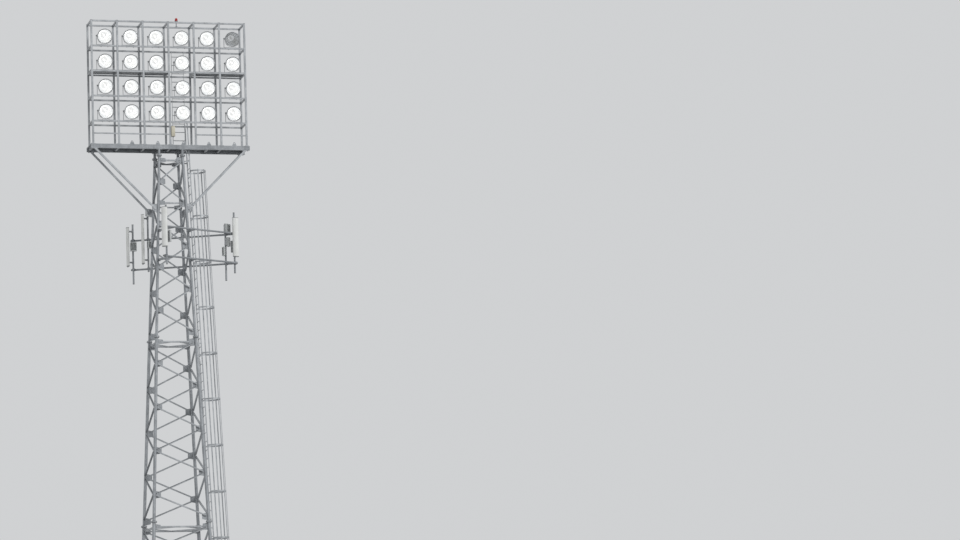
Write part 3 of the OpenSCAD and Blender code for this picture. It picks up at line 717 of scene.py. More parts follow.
def solids(node: str) -> List[Solid]:
    """Reads a CAD node's loose solids.

    Args:
        node: The node's name.

    Returns:
        Its solids, each with its own corners.
    """
    mesh = frame["nodes"][node].data
    keys = [tuple(round(c, 5) for c in vertex.co) for vertex in mesh.vertices]
    root: Dict[tuple, tuple] = {key: key for key in keys}

    def find(key: tuple) -> tuple:
        """The corner that stands for this corner's solid."""
        while root[key] != key:
            root[key] = root[root[key]]
            key = root[key]
        return key

    for face in mesh.polygons:
        first = find(keys[face.vertices[0]])
        for index in face.vertices[1:]:
            root[find(keys[index])] = first
    groups: Dict[tuple, List[Vector]] = {}
    for key in root:
        groups.setdefault(find(key), []).append(Vector(key))
    return [Solid(corners) for _, corners in sorted(groups.items())]


@dataclass
class Fastener(ABC):
    """A fastener that is modelled once and put in many places."""

    bench: Bench

    @abstractmethod
    def model(self) -> Piece:
        """Models it round the origin."""

    def at(self, places: Iterable[Matrix]) -> Piece:
        """Puts it in every place."""
        return self.bench.spread(self.model(), places)


@dataclass
class Bolt(Fastener):
    """A hexagon bolt with its nut, its axis along Z and the joint's middle at the origin."""

    diameter: float
    above: float
    below: float
    WASHER: ClassVar[float] = 0.15
    HEX: ClassVar[float] = 0.9
    HEAD: ClassVar[float] = 0.62
    NUT: ClassVar[float] = 0.8
    THREAD: ClassVar[float] = 1.15

    def model(self) -> Piece:
        """Models the head and washer above the joint, and the nut and thread end below it."""
        b, d, hexagon = self.bench, self.diameter, self.HEX * self.diameter
        top, low = self.above + self.WASHER * d, -self.below - self.WASHER * d
        nut, end = low - self.NUT * d, low - self.THREAD * d
        parts = b.stack(Vector(), UP, (
            (self.above, top, d, 10), (top, top + self.HEAD * d, hexagon, 6),
            (low, -self.below, d, 10), (nut, low, hexagon, 6), (end, nut, d / 2, 8)))
        b.inset(parts[1], UP, 0.16 * d, 0.06 * d)
        return b.finish(parts, Finishes.BOLT, 20)


@dataclass
class Clasp(Fastener):
    """A U-bolt round a pipe along Z: its bow is on the +Y side and its nuts sit on a seat at -Y."""

    pipe: float
    seat: float
    rod: float
    CLEAR: ClassVar[float] = 0.001

    def model(self) -> Piece:
        """Extrudes one leg, spins the bow, extrudes the other leg and adds the nuts."""
        b, size, radius = self.bench, self.rod, self.pipe + self.rod / 2 + self.CLEAR
        foot, washer = self.seat + 1.25 * size, self.seat + 0.15 * size
        bpy.ops.object.select_all(action="DESELECT")
        bpy.ops.mesh.primitive_circle_add(vertices=8, radius=size / 2, fill_type="NGON",
                                          location=(radius, -foot, 0), rotation=(math.pi / 2, 0, 0))
        b.settle()
        bpy.ops.object.mode_set(mode="EDIT")
        bpy.ops.mesh.select_mode(type="FACE")
        bpy.ops.mesh.select_all(action="SELECT")
        bpy.ops.mesh.extrude_region_move(TRANSFORM_OT_translate={"value": (0, foot, 0)})
        bpy.ops.mesh.spin(steps=10, angle=-math.pi, center=(0, 0, 0), axis=(0, 0, 1))
        bpy.ops.mesh.extrude_region_move(TRANSFORM_OT_translate={"value": (0, -foot, 0)})
        parts = [b.tidy()]
        for side in SIDES:
            parts += b.stack(EAST * (side * radius), -NORTH, (
                (self.seat, washer, size, 10), (washer, self.seat + size, 0.9 * size, 6)))
        return b.finish(parts, Finishes.BOLT, 40)

    @staticmethod
    def place(at: Vector, axis: Vector, seat: Vector) -> Matrix:
        """The place round a pipe along axis, the nuts towards the seat."""
        return placed(at, axis, seat.cross(-axis))


@dataclass
class Assembly(ABC):
    """A part of the pylon with its own fittings."""

    bench: Bench

    @abstractmethod
    def build(self) -> None:
        """Builds and delivers all of its pieces."""


@dataclass
class Tower(Assembly):
    """The lattice tower: fasteners and welds on the CAD legs, bracing, ladder and foot."""

    lip: float = 0.042
    flange: float = 0.02
    flange_step: float = 0.006
    per_flange: int = 8
    brace_bolts: Span = (0.028, 0.078)
    hoop_drop: float = 0.48
    hoop_pitch: float = 1.5
    hoops: int = 15
    hoop_r: float = 0.31
    hoop_mid: float = 0.4925
    hoop_bolts: Span = (-0.014, 0.014)
    hoop_lug: float = 0.256
    ladder_gap: float = 0.26
    stile_u: float = 0.205
    stile_web: float = 0.195
    straps: int = 5
    rung_foot: float = 0.4
    rung_pitch: float = 0.28
    splice_rungs: Tuple[int, ...] = (18, 39, 60, 81)
    splice_bolts: Tuple[float, ...] = (-0.085, -0.035, 0.035, 0.085)
    knee_drop: float = 1.88
    knee_head: Span = (2.54625, 24.28)
    knee_row: Tuple[float, ...] = (0.14, 0.19, 0.24)
    knee_plate: float = 0.004
    knee_spread: Span = (-0.078, 0.078)
    FACES: ClassVar[Tuple[str, ...]] = ("front", "right", "rear", "left")
    ANCHOR: ClassVar[Rods] = ((0, 0.006, 0.032, 16), (0.006, 0.03, 0.0265, 6),
                              (0.031, 0.052, 0.0265, 6), (0, 0.078, 0.015, 12))
    WELD: ClassVar[Outline] = ((-0.004, 0), (0.007, 0), (0, 0.008), (-0.004, 0.008))

    def __post_init__(self) -> None:
        """Reads the tower's sizes from the frame."""
        anchors = [m for m in frame["record"]["mounts"] if m["name"].startswith("anchors")]
        self.anchors = [Vector(m["pos_m"]) for m in anchors]
        self.pitch = anchors[0]["dims"]["spacing_x_mm"] / 1000
        self.foot = self.anchors[0].z
        self.half_base = abs(self.anchors[0].x)
        self.half_top = abs(frame["joints"][0]["pos_m"][1])
        self.sections = sum(name.startswith("tower_legs") for name in frame["nodes"])
        self.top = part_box(f"tower_legs_{self.sections}")[1].z
        self.tilt = math.atan2(self.half_base - self.half_top, self.top - self.foot)

    def half(self, z: float) -> float:
        """Half the distance between leg centres at a height."""
        return self.half_base - (z - self.foot) * math.tan(self.tilt)

    def slope(self, z: float) -> float:
        """The way up a face's slope to a height."""
        return (z - self.foot) / math.cos(self.tilt)

    def corners(self, z: float) -> List[Vector]:
        """The four leg centres at a height."""
        h = self.half(z)
        return [Vector((sx * h, sy * h, z)) for sx in SIDES for sy in SIDES]

    def face(self, turn: int) -> Matrix:
        """The place of a face, 0 in front and on to the right: X along it, Y up it, Z outwards."""
        foot = Matrix.Translation((0, -self.half_base, self.foot))
        lean = Matrix.Rotation(math.pi / 2 - self.tilt, 4, "X")
        return Matrix.Rotation(turn * math.pi / 2, 4, "Z") @ foot @ lean

    def anchor_bolts(self) -> None:
        """Four anchor bolts with double nuts on each anchor plate."""
        b, half = self.bench, (-self.pitch / 2, self.pitch / 2)
        nuts = [b.bevel(nut, 0.0015, 1) for nut in b.stack(Vector(), UP, self.ANCHOR)]
        spots = [Matrix.Translation(at + Vector((dx, dy, 0)))
                 for at in self.anchors for dx in half for dy in half]
        b.deliver(b.spread(b.finish(nuts, Finishes.BOLT, 25), spots), "anchor_bolts")

    def flange_joints(self) -> None:
        """Eight bolts through each pair of leg flanges, and a weld round each tube end."""
        b, spots, welds = self.bench, [], []
        flip = Matrix.Rotation(math.pi, 4, "X")
        for section in range(1, self.sections + 1):
            low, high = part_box(f"tower_legs_{section}")
            reach = high.x - self.half(low.z)
            bead = b.turned(moved(self.WELD, reach - self.lip), 24, True)
            places = [Matrix.Translation(at + UP * self.flange) for at in self.corners(low.z)]
            places += [Matrix.Translation(at - UP * self.flange) @ flip
                       for at in self.corners(high.z)]
            welds.append(b.spread(b.finish([bead], Finishes.WELD, 60), places))
            step = self.flange_step if section < self.sections else 0
            out = Matrix.Translation(EAST * (reach - self.lip / 2 - step))
            spots += [Matrix.Translation(at) @ turn @ out for at in self.corners(high.z)
                      for turn in circle(self.per_flange, 180 / self.per_flange)]
        b.deliver(Bolt(b, 0.016, self.flange, self.flange).at(spots), "flange_bolts")
        b.deliver(b.join(welds), "flange_welds")

    def bracing_bolts(self) -> None:
        """Two bolts through each end of every bracing bar and its gusset plate."""
        near, far = self.brace_bolts
        for turn, name in enumerate(self.FACES):
            plane = self.face(turn)
            outward = plane.to_3x3().col[2]
            level = plane.translation.dot(outward)
            places = []
            for bar in solids(f"bracing_{name}"):
                first, second = bar.ends()
                along = (second - first).normalized()
                across = outward.cross(along).normalized()
                side = 1 if sum(bar.reach(outward)) / 2 > level else -1
                line = across * (sum(bar.reach(across)) / 2) + outward * level
                low, high = bar.reach(along)
                places += [placed(line + along * spot, outward * side, along)
                           for spot in (low + near, low + far, high - far, high - near)]
            bolts = Bolt(self.bench, 0.014, 0.009, 0.004).at(places)
            self.bench.deliver(bolts, f"bolts_{name}")

    def ladder_bolts(self) -> None:
        """The bolts of the cage's hoops and straps, and bolted splices in the stiles."""
        b, side = self.bench, self.face(1)
        lugs, rounds, splices, pins = [], [], [], []
        for i in range(self.hoops):
            v = self.slope(self.top - self.hoop_drop) - i * self.hoop_pitch
            lugs += [side @ placed(Vector((s * self.stile_u, v + dv, self.hoop_lug)), EAST * s, UP)
                     for s in SIDES for dv in self.hoop_bolts]
            for k in range(self.straps):
                turn = math.pi * k / (self.straps - 1)
                out = Vector((math.cos(turn), 0, math.sin(turn)))
                spot = Vector((0, v, self.hoop_mid)) + out * self.hoop_r
                rounds.append(side @ placed(spot, out, NORTH))
        for rung in self.splice_rungs:
            v = self.slope(self.rung_foot) + (rung + 0.5) * self.rung_pitch
            for s in SIDES:
                spot = Vector((s * self.stile_web, v, self.ladder_gap))
                splices.append(side @ placed(spot, EAST * s, NORTH))
                pins += [side @ placed(spot + NORTH * dv, EAST * s, UP) for dv in self.splice_bolts]
        plate = b.slab((-0.11, -0.018, -0.006), (0.11, 0.018, 0.0), 0.002, 2)
        made = [b.spread(b.finish([plate], Finishes.LADDER), splices),
                Bolt(b, 0.01, 0.012, 0.01).at(lugs), Bolt(b, 0.01, 0.006, 0.006).at(rounds),
                Bolt(b, 0.01, 0.01, 0.006).at(pins)]
        b.deliver(b.join(made), "ladder_fasteners")

    def knee_bolts(self) -> None:
        """Three bolts at the foot of each knee brace and two through the plate at the chord."""
        b, low = self.bench, self.top - self.knee_drop
        foot = Vector((self.half(low), self.slope(low), self.knee_plate))
        head = Vector((self.knee_head[0], self.slope(self.knee_head[1]), self.knee_plate))
        rise = (head - foot).normalized()
        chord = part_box("main_chords")[0].z
        reach = foot.x + rise.x / rise.y * (self.slope(chord) - foot.y)
        feet, heads = [], []
        for turn in (0, 2):
            y = (turn - 1) * (self.half_top - self.knee_plate)
            for s in SIDES:
                feet += [self.face(turn) @ placed(Vector((s * spot.x, spot.y, spot.z)))
                         for spot in (foot + rise * along for along in self.knee_row)]
                heads += [placed(Vector((s * reach + dx, y, chord))) for dx in self.knee_spread]
        made = [Bolt(b, 0.02, 0.01, 0.008).at(feet), Bolt(b, 0.016, 0.007, 0.012).at(heads)]
        b.deliver(b.join(made), "knee_bolts")

    def build(self) -> None:
        """Builds all of the tower's fittings."""
        self.anchor_bolts()
        self.flange_joints()
        self.bracing_bolts()
        self.ladder_bolts()
        self.knee_bolts()


@dataclass
class Floodlight(Assembly):
    """The tilting floodlights: one is modelled on its tilt axis and copied to every joint.

    While it is modelled, the light shines along +Z and the tilt axis is X, through the origin.
    """

    rim_r: float = 0.255
    rim_z: float = 0.115
    rim_wall: float = 0.014
    bowl_l: float = 0.29
    wall: float = 0.004
    beads: Span = (-0.06, 0.03)
    bead_h: float = 0.0035
    bead_w: float = 0.006
    neck_r: float = 0.085
    neck_l: float = 0.15
    fins: int = 5
    arm_x: float = 0.261
    arm_t: float = 0.006
    pin: float = 0.008
    aim: float = math.radians(22)
    unlit: Tuple[str, ...] = ("lamp_r1c6",)
    OWN_PLACE: ClassVar[str] = "lamp_place"
    # The rim and the strip of its clips, from the rim's outer edge.
    RIM: ClassVar[Outline] = (
        (-0.027, -0.014), (-0.016, -0.02), (-0.004, -0.022), (0, -0.018), (0, -0.004),
        (-0.003, -0.001), (-0.01, 0), (-0.019, -0.001), (-0.024, -0.004), (-0.027, -0.008))
    CLIP: ClassVar[Outline] = (
        (-0.026, 0.0035), (0.0005, 0.0035), (0.0065, -0.0005), (0.0065, -0.024),
        (-0.008, -0.046), (-0.0105, -0.0445), (0.0035, -0.0225), (0.0035, -0.0015),
        (-0.0005, 0.0005), (-0.026, 0.0005))
    # The lampholder, from the neck's radius: its flange, one fin and its domed cap.
    FLANGE: ClassVar[Outline] = ((-0.004, 0.003), (0.008, -0.001), (0.008, -0.009), (0, -0.011))
    FIN: ClassVar[Outline] = (
        (0, 0.0065), (0.0112, 0.005), (0.012, 0.0035), (0.012, 0.001), (0.011, 0), (0, -0.0015))
    CAP: ClassVar[Outline] = (
        (0, 0.003), (-0.003, 0), (-0.007, -0.0045), (-0.014, -0.012), (-0.026, -0.0165),
        (-0.0425, -0.02), (-0.06375, -0.0215))
    GLAND: ClassVar[Rods] = ((-0.004, 0.008, 0.015, 18), (0.008, 0.022, 0.0155, 6),
                             (0.022, 0.034, 0.0115, 16, 0.0095), (0.034, 0.04, 0.0075, 14, 0.0065))
    # The lamp's holder and tube, from the holder's foot, and the glass and gasket, from the rim.
    HOLDER: ClassVar[Outline] = (
        (0, 0), (0.034, 0), (0.034, 0.03), (0.028, 0.036), (0.018, 0.038), (0.016, 0.05), (0, 0.05))
    TUBE: ClassVar[Outline] = (
        (0, 0.045), (0.008, 0.045), (0.009, 0.065), (0.015, 0.08), (0.018, 0.11), (0.015, 0.14),
        (0.008, 0.155), (0.004, 0.17), (0, 0.172))
    PANE: ClassVar[Outline] = (
        (0, -0.002), (0.08, -0.003), (0.16, -0.0052), (0.229, -0.0085), (0.229, -0.0125),
        (0.16, -0.0092), (0.08, -0.007), (0, -0.006))
    GASKET: ClassVar[Outline] = (
        (0.222, -0.0075), (0.2295, -0.0065), (0.2295, -0.0145), (0.222, -0.0135))

    def __post_init__(self) -> None:
        """Works out where the reflector ends and its housing begins."""
        self.neck_z = self.rim_z - self.bowl_l

    def bowl(self, share: float) -> float:
        """The reflector's radius at a share of its depth, 0 at the neck and 1 at the rim."""
        return self.neck_r + (self.rim_r - self.rim_wall - self.neck_r) * math.sqrt(share)

    def curve(self, first: float, last: float, steps: int, inward: float) -> List[Span]:
        """Points of the reflector's curve, moved inward."""
        shares = [first + (last - first) * (i / steps) ** 1.6 for i in range(steps + 1)]
        return [(self.bowl(s) - inward, self.neck_z + s * self.bowl_l) for s in shares]

    def shell(self) -> Piece:
        """The spun shell with its two swaged beads."""
        outer = []
        for r, z in self.curve(0.0, 0.96, 26, 0.0):
            swell = max(math.exp(-((z - bead) / self.bead_w) ** 2) for bead in self.beads)
            outer.append((r + self.bead_h * swell, z))
        inner = self.curve(0.0, 0.96, 8, self.wall)[::-1]
        return self.bench.finish([self.bench.turned(outer + inner, 56, True)], Finishes.SPUN, 40)

    def rim(self) -> Piece:
        """The cast rim that holds the glass, with its four spring clips."""
        b, r, z = self.bench, self.rim_r, self.rim_z
        edge = b.turned(moved(self.RIM, r, z), 56, True)
        strip = b.bevel(b.prism(moved(self.CLIP, r, z), -0.015, 0.015), 0.0006, 1)
        strip.data.transform(Matrix.Rotation(math.pi / 2, 4, "X"))
        clip = [strip,
                b.rod((r - 0.009, -0.018, z - 0.044), (r - 0.009, 0.018, z - 0.044), 0.004, 10),
                b.slab((r - 0.024, -0.011, z - 0.052), (r - 0.01, 0.011, z - 0.022), 0.002, 2),
                b.rod((r + 0.0065, 0, z - 0.012), (r + 0.0085, 0, z - 0.012), 0.005, 10)]
        clips = b.spread(b.join([b.smooth(part) for part in clip]), circle(4, 45))
        return b.paint.coat(b.join([b.smooth(edge, 50), clips]), Finishes.CASTING)

    def lampholder(self) -> Piece:
        """The finned housing behind the reflector: flange screws, domed cap and cable gland."""
        b, n, top = self.bench, self.neck_r, self.neck_z
        end, pitch = top - self.neck_l, self.neck_l / (self.fins + 1)
        outline = [(0.0, top + 0.003), *moved(self.FLANGE, n, top)]
        for i in range(self.fins, 0, -1):
            outline += moved(self.FIN, n, end + i * pitch)
        outline += [*moved(self.CAP, n, end), (0.0, end - 0.022)]
        body = b.smooth(b.turned(outline, 40), 35)
        screw = b.rod((n + 0.002, 0, top - 0.013), (n + 0.002, 0, top - 0.008), 0.005, 8)
        screws = b.spread(b.bevel(screw, 0.0008, 1), circle(8, 22.5))
        gland = b.stack(Vector((0, -n, end + pitch / 2 + 0.002)), -NORTH, self.GLAND)
        gland.append(b.rod(UP * (end - 0.021), UP * (end - 0.026), 0.009, 16, 0.008))
        parts = [body, screws, *[b.smooth(part) for part in gland]]
        return b.paint.coat(b.join(parts), Finishes.CASTING)

    def trunnions(self) -> Piece:
        """The bosses, pins and clamping nuts on both sides, and the aiming scale on one."""
        b, face, out = self.bench, self.arm_x - 0.001, self.arm_x + self.arm_t + 0.001
        reach = self.bowl(-self.neck_z / self.bowl_l) - self.wall + 0.001
        side = b.stack(Vector(), EAST, (
            (reach, face - 0.008, 0.034, 24, 0.03), (face - 0.008, face, 0.03, 24),
            (face - 0.002, out + 0.013, self.pin, 16), (out, out + 0.003, 0.017, 20),
            (out + 0.003, out + 0.011, 0.0155, 6)))
        b.inset(side[-1], EAST, 0.003, 0.001)
        right = b.join([b.smooth(part) for part in side])
        left = b.copies(right, [Matrix.Rotation(math.pi, 4, "Z")])
        rounded = [tuple(0.05 * way(math.radians(a)).xy) for a in range(-90, 91, 10)]
        plate = b.prism(rounded, 0.0, 0.0013)
        marks = [b.block((0.04 if i % 3 else 0.035, -0.0006, 0.001), (0.048, 0.0006, 0.0018))
                 for i in range(13)]
        for i, mark in enumerate(marks):
            mark.data.transform(Matrix.Rotation(math.radians(i * 10 - 60), 4, "Z"))
        scale = b.join([plate, *marks])
        scale.data.transform(placed(EAST * (out - 0.0008), EAST, -UP))
        return b.paint.coat(b.join([right, *left, scale]), Finishes.CASTING)

    def optic(self, lit: bool) -> Piece:
        """The faceted reflector inside the shell, with the quartz tube in its ceramic holder."""
        b, foot = self.bench, self.neck_z + 0.003
        inner = self.curve(0.026, 0.93, 8, 0.0105)
        outer = self.curve(0.026, 0.93, 8, 0.008)[::-1]
        flat = [(0.1, foot + 0.002), (0.033, foot + 0.002)]
        dish = b.turned([(0.033, foot + 0.0045), *inner, *outer, *flat], 28, True)
        b.paint.coat(dish, Finishes.REFLECTOR_LIT if lit else Finishes.REFLECTOR_DARK)
        holder = b.turned(moved(self.HOLDER, 0, foot), 20)
        b.finish([holder], Finishes.HOLDER_LIT if lit else Finishes.HOLDER_DARK)
        tube = b.turned(moved(self.TUBE, 0, foot), 18)
        b.finish([tube], Finishes.TUBE_LIT if lit else Finishes.TUBE_DARK, 60)
        return b.join([dish, holder, tube])

    def glass(self) -> Piece:
        """The slightly domed front glass."""
        pane = self.bench.turned(moved(self.PANE, 0, self.rim_z), 48)
        return self.bench.finish([pane], Finishes.FRONT_GLASS)

    def gasket(self) -> Piece:
        """The rubber ring between the glass and the rim."""
        ring = self.bench.turned(moved(self.GASKET, 0, self.rim_z), 48, True)
        return self.bench.finish([ring], Finishes.RUBBER)

    def remember_place(self, piece: Piece) -> None:
        """Keeps each point's own place on the lamp, for the patterns that turn with it."""
        layer = piece.data.attributes.new(self.OWN_PLACE, "FLOAT_VECTOR", "POINT")
        layer.data.foreach_set("vector", [c for vertex in piece.data.vertices for c in vertex.co])

    def build(self) -> None:
        """Models one floodlight and copies it to every tilt joint."""
        b = self.bench
        housing = b.join([self.shell(), self.rim(), self.lampholder(), self.trunnions(),
                          self.gasket()])
        models = {"housing": housing, "glass": self.glass(), "lit": self.optic(True),
                  "dark": self.optic(False)}
        for model in models.values():
            self.remember_place(model)
        aimed = Matrix.Rotation(self.aim, 4, "X") @ Matrix.Rotation(math.pi / 2, 4, "X")
        for joint in frame["joints"]:
            body = joint["child"]
            lamp = body.removesuffix("_body")
            place = Matrix.Translation(Vector(joint["pos_m"])) @ aimed
            optic = "dark" if lamp in self.unlit else "lit"
            for part, kind in (("housing", "housing"), ("glass", "glass"), ("reflector", optic)):
                copy, = b.copies(models[kind], [place])
                name = f"{lamp.replace('lamp', 'floodlight')}_{part}"
                b.deliver(copy, name, "lamp_housing", [lamp] if part == "housing" else [], body)
        for model in models.values():
            bpy.data.objects.remove(model)


@dataclass
class Headgear(Assembly):
    """The floodlight frames' gratings, welds, fastenings, junction box and obstruction light."""

    tower: Tower
    bar: float = 0.003
    bar_pitch: float = 0.034
    cross_rod: float = 0.005
    cross_pitch: float = 0.05
    shoe_bolts: Span = (-0.056, 0.056)
    stirrup_foot: Span = (-0.11, 0.11)
    seat_spread: Span = (-0.07, 0.07)
    seat_plate: float = 0.004
    tube: float = 0.025
    WELDED: ClassVar[Tuple[Tuple[str, float], ...]] = (
        ("frame_rails", 0.025), ("cross_ties", 0.025), ("knee_rails", 0.02))
    WELD: ClassVar[Outline] = ((-0.004, 0), (0.008, 0), (0.001, 0.006), (-0.004, 0.006))
    # The obstruction light: its stem, from its foot, and from the stem's top its cup, one rib of
    # the lens, the lens's dome and the knob.
    STEM: ClassVar[Outline] = ((0, 0), (0.045, 0), (0.045, 0.006), (0.043, 0.008), (0.019, 0.009),
                               (0.015, 0.013))
    CUP: ClassVar[Outline] = (
        (0.015, 0), (0.024, 0.001), (0.05, 0.022), (0.054, 0.026), (0.055, 0.039), (0.053, 0.042),
        (0.046, 0.046), (0, 0.046))
    RIB: ClassVar[Outline] = ((0.046, 0.049), (0.05, 0.052), (0.05, 0.055), (0.046, 0.058))
    DOME: ClassVar[Outline] = (
        (0.04, 0.128), (0.033, 0.136), (0.024, 0.143), (0.02, 0.146), (0, 0.146))
    KNOB: ClassVar[Outline] = ((0, 0.144), (0.02, 0.144), (0.0195, 0.147), (0.013, 0.15), (0, 0.15))

    def grating(self, low: Vector, high: Vector) -> Piece:
        """One panel of bar grating that fills the box of its CAD slab.

        Args:
            low: The slab's lowest corner.
            high: The slab's highest corner.

        Returns:
            The panel: bearing bars across, cross rods along, and a banding bar on each side.
        """
        b, bar, rod, size = self.bench, self.bar, self.cross_rod, high - low
        bars = max(2, round((size.x - bar) / self.bar_pitch) + 1)
        bearer = b.block((low.x, low.y + bar, low.z), (low.x + bar, high.y - bar, high.z))
        bearers = b.repeat(bearer, bars, ((size.x - bar) / (bars - 1), 0, 0))
        rods = max(2, round(size.y / self.cross_pitch))
        gap = size.y / rods
        first = low + Vector((0, gap / 2 - rod / 2, size.z - rod - 0.001))
        cross = b.repeat(b.block(first, first + Vector((size.x, rod, rod))), rods, (0, gap, 0))
        band = b.block(low, (high.x, low.y + bar, high.z))
        return b.join([bearers, cross, b.repeat(band, 2, (0, size.y - bar, 0))])

    def gratings(self) -> None:
        """Bar grating in place of every CAD slab of both walkways."""
        b = self.bench
        for node, name in (("platform_floor", "platform_grating"),
                           ("upper_walkway", "walkway_grating")):
            panels = [self.grating(*slab.box()) for slab in solids(node)]
            b.deliver(b.paint.coat(b.join(panels), Finishes.GRATING), name, "grating", [node])

    def frame_fittings(self) -> None:
        """Fillet welds round the ends of the square tubes, and shoes and caps on the posts."""
        b, places = self.bench, []
        for node, half in self.WELDED:
            size = Matrix.Scale(half / self.tube, 4) @ Matrix.Rotation(math.pi / 4, 4, "Z")
            for tube in solids(node):
                ends = tube.ends()
                places += [placed(a, c - a, UP) @ size for a, c in (ends, ends[::-1])]
        bead = b.turned(moved(self.WELD, self.tube * math.sqrt(2)), 4, True)
        welds = b.spread(b.finish([bead], Finishes.WELD), places)
        b.deliver(welds, "frame_welds", "frame_steel")
        feet, heads, holes = [], [], []
        for post in solids("frame_posts"):
            (low, high), foot = post.box(), post.foot()
            feet.append(Matrix.Translation(foot))
            heads.append(Matrix.Translation(foot + UP * (high.z - low.z)))
            holes += [Matrix.Translation(foot + EAST * dx) for dx in self.shoe_bolts]
        shoe = b.finish([b.slab((-0.08, -0.029, 0), (0.08, 0.029, 0.01), 0.002, 2)], Finishes.FRAME)
        lid = b.inset(b.block((-0.0315, -0.0315, 0), (0.0315, 0.0315, 0.006)), UP, 0.014, 0.003)
        lid = b.finish([b.bevel(lid, 0.0012)], Finishes.RUBBER)
        made = [b.spread(shoe, feet), b.spread(lid, heads), Bolt(b, 0.014, 0.01, 0.007).at(holes)]
        b.deliver(b.join(made), "post_fittings", "frame_steel")

    def stirrup_bolts(self) -> None:
        """Two bolts down through each stirrup's foot into its rail."""
        for node in sorted(n for n in frame["nodes"] if n.startswith("stirrups")):
            places = [placed(stirrup.foot() + EAST * dx)
                      for stirrup in solids(node) for dx in self.stirrup_foot]
            bolts = Bolt(self.bench, 0.016, 0.006, 0.05).at(places)
            self.bench.deliver(bolts, node.replace("stirrups", "stirrup_bolts"), "stirrup_steel")

    def seat_bolts(self) -> None:
        """Two bolts through the plate of each stub post into the chord above it."""
        x, y = self.tower.half_top, self.tower.half_top - self.seat_plate
        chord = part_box("main_chords")[0].z
        places = [placed(Vector((sx * x + dx, sy * y, chord)))
                  for sx in SIDES for sy in SIDES for dx in self.seat_spread]
        self.bench.deliver(Bolt(self.bench, 0.016, 0.007, 0.012).at(places), "seat_bolts")

    def junction_box(self) -> None:
        """The steel box with its raised door, hinges, latch, rain lip and conduit."""
        b = self.bench
        low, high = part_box("junction_box")
        corner = Vector((low.x, low.y + 0.074, high.z - 0.334))
        pipe = low.z - corner.z
        door = b.inset(b.block((0.007, 0.059, 0.007), (0.113, 0.068, 0.323)), NORTH, 0.01, 0.002)
        coat = [b.slab((0, -0.07, 0), (0.12, 0.06, 0.33), 0.004, 2), b.bevel(door, 0.0012),
                b.slab((0, -0.074, 0.3305), (0.124, 0.086, 0.3335), 0.001),
                b.slab((0, 0.083, 0.318), (0.124, 0.086, 0.333), 0.001)]
        hinges = ((0.04, 0.08, 0.004, 12), (0.25, 0.29, 0.004, 12))
        conduit = ((pipe, 0, 0.0125, 20), (pipe, pipe + 0.022, 0.0185, 20, 0.0165),
                   (-0.03, -0.012, 0.02, 6), (-0.012, 0, 0.018, 20))
        metal = [*b.stack(Vector((0.008, 0.066, 0)), UP, hinges),
                 b.rod((0.1, 0.066, 0.165), (0.1, 0.076, 0.165), 0.011, 20),
                 b.slab((0.098, 0.075, 0.156), (0.102, 0.078, 0.174), 0.0006),
                 *b.stack(EAST * 0.06, UP, conduit)]
        piece = b.join([b.finish(coat, Finishes.BOX), b.finish(metal, Finishes.BOLT)])
        piece.data.transform(Matrix.Translation(corner))
        b.deliver(piece, "junction_box_case", "box_paint", ["junction_box"])

    def signal(self) -> None:
        """The obstruction light: a ribbed red glass on a cast base and stem."""
        b, stem = self.bench, 0.15
        ribs = [point for i in range(6) for point in moved(self.RIB, -0.001 * i, 0.013 * i)]
        lens = [(0, 0.044), (0.045, 0.044), *ribs, *self.DOME]
        lens = b.finish([b.turned(moved(lens, 0, stem), 36)], Finishes.RED_GLASS, 40)
        screw = b.rod((0.033, 0, 0.007), (0.033, 0, 0.0125), 0.0065, 6)
        cast = [b.turned([*self.STEM, *moved(self.CUP, 0, stem)], 36),
                b.turned(moved(self.KNOB, 0, stem), 24), b.spread(screw, circle(4, 45))]
        piece = b.join([lens, b.finish(cast, Finishes.CHORD)])
        piece.data.transform(Matrix.Translation(Solid(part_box("obstruction_light")).foot()))
        b.deliver(piece, "obstruction_light_lens", "red_lens", ["obstruction_light"])

    def build(self) -> None:
        """Builds all of the headgear's fittings."""
        self.gratings()
        self.frame_fittings()
        self.stirrup_bolts()
        self.seat_bolts()
        self.junction_box()
        self.signal()


@dataclass(frozen=True)
class Mast:
    """An upright pipe: its place along and out from a side's pipes, and its ends' heights."""

    side: int
    along: float
    out: float
    bottom: float
    top: float


@dataclass(frozen=True)
class Hung:
    """A panel or radio unit: its mast, the way it faces, its lower end, its size and its back."""

    mast: int
    facing: float
    bottom: float
    width: float
    depth: float
    height: float
    back: float = 0.0

    def front(self) -> Vector:
        """The way that it faces."""
        return way(math.radians(self.facing))


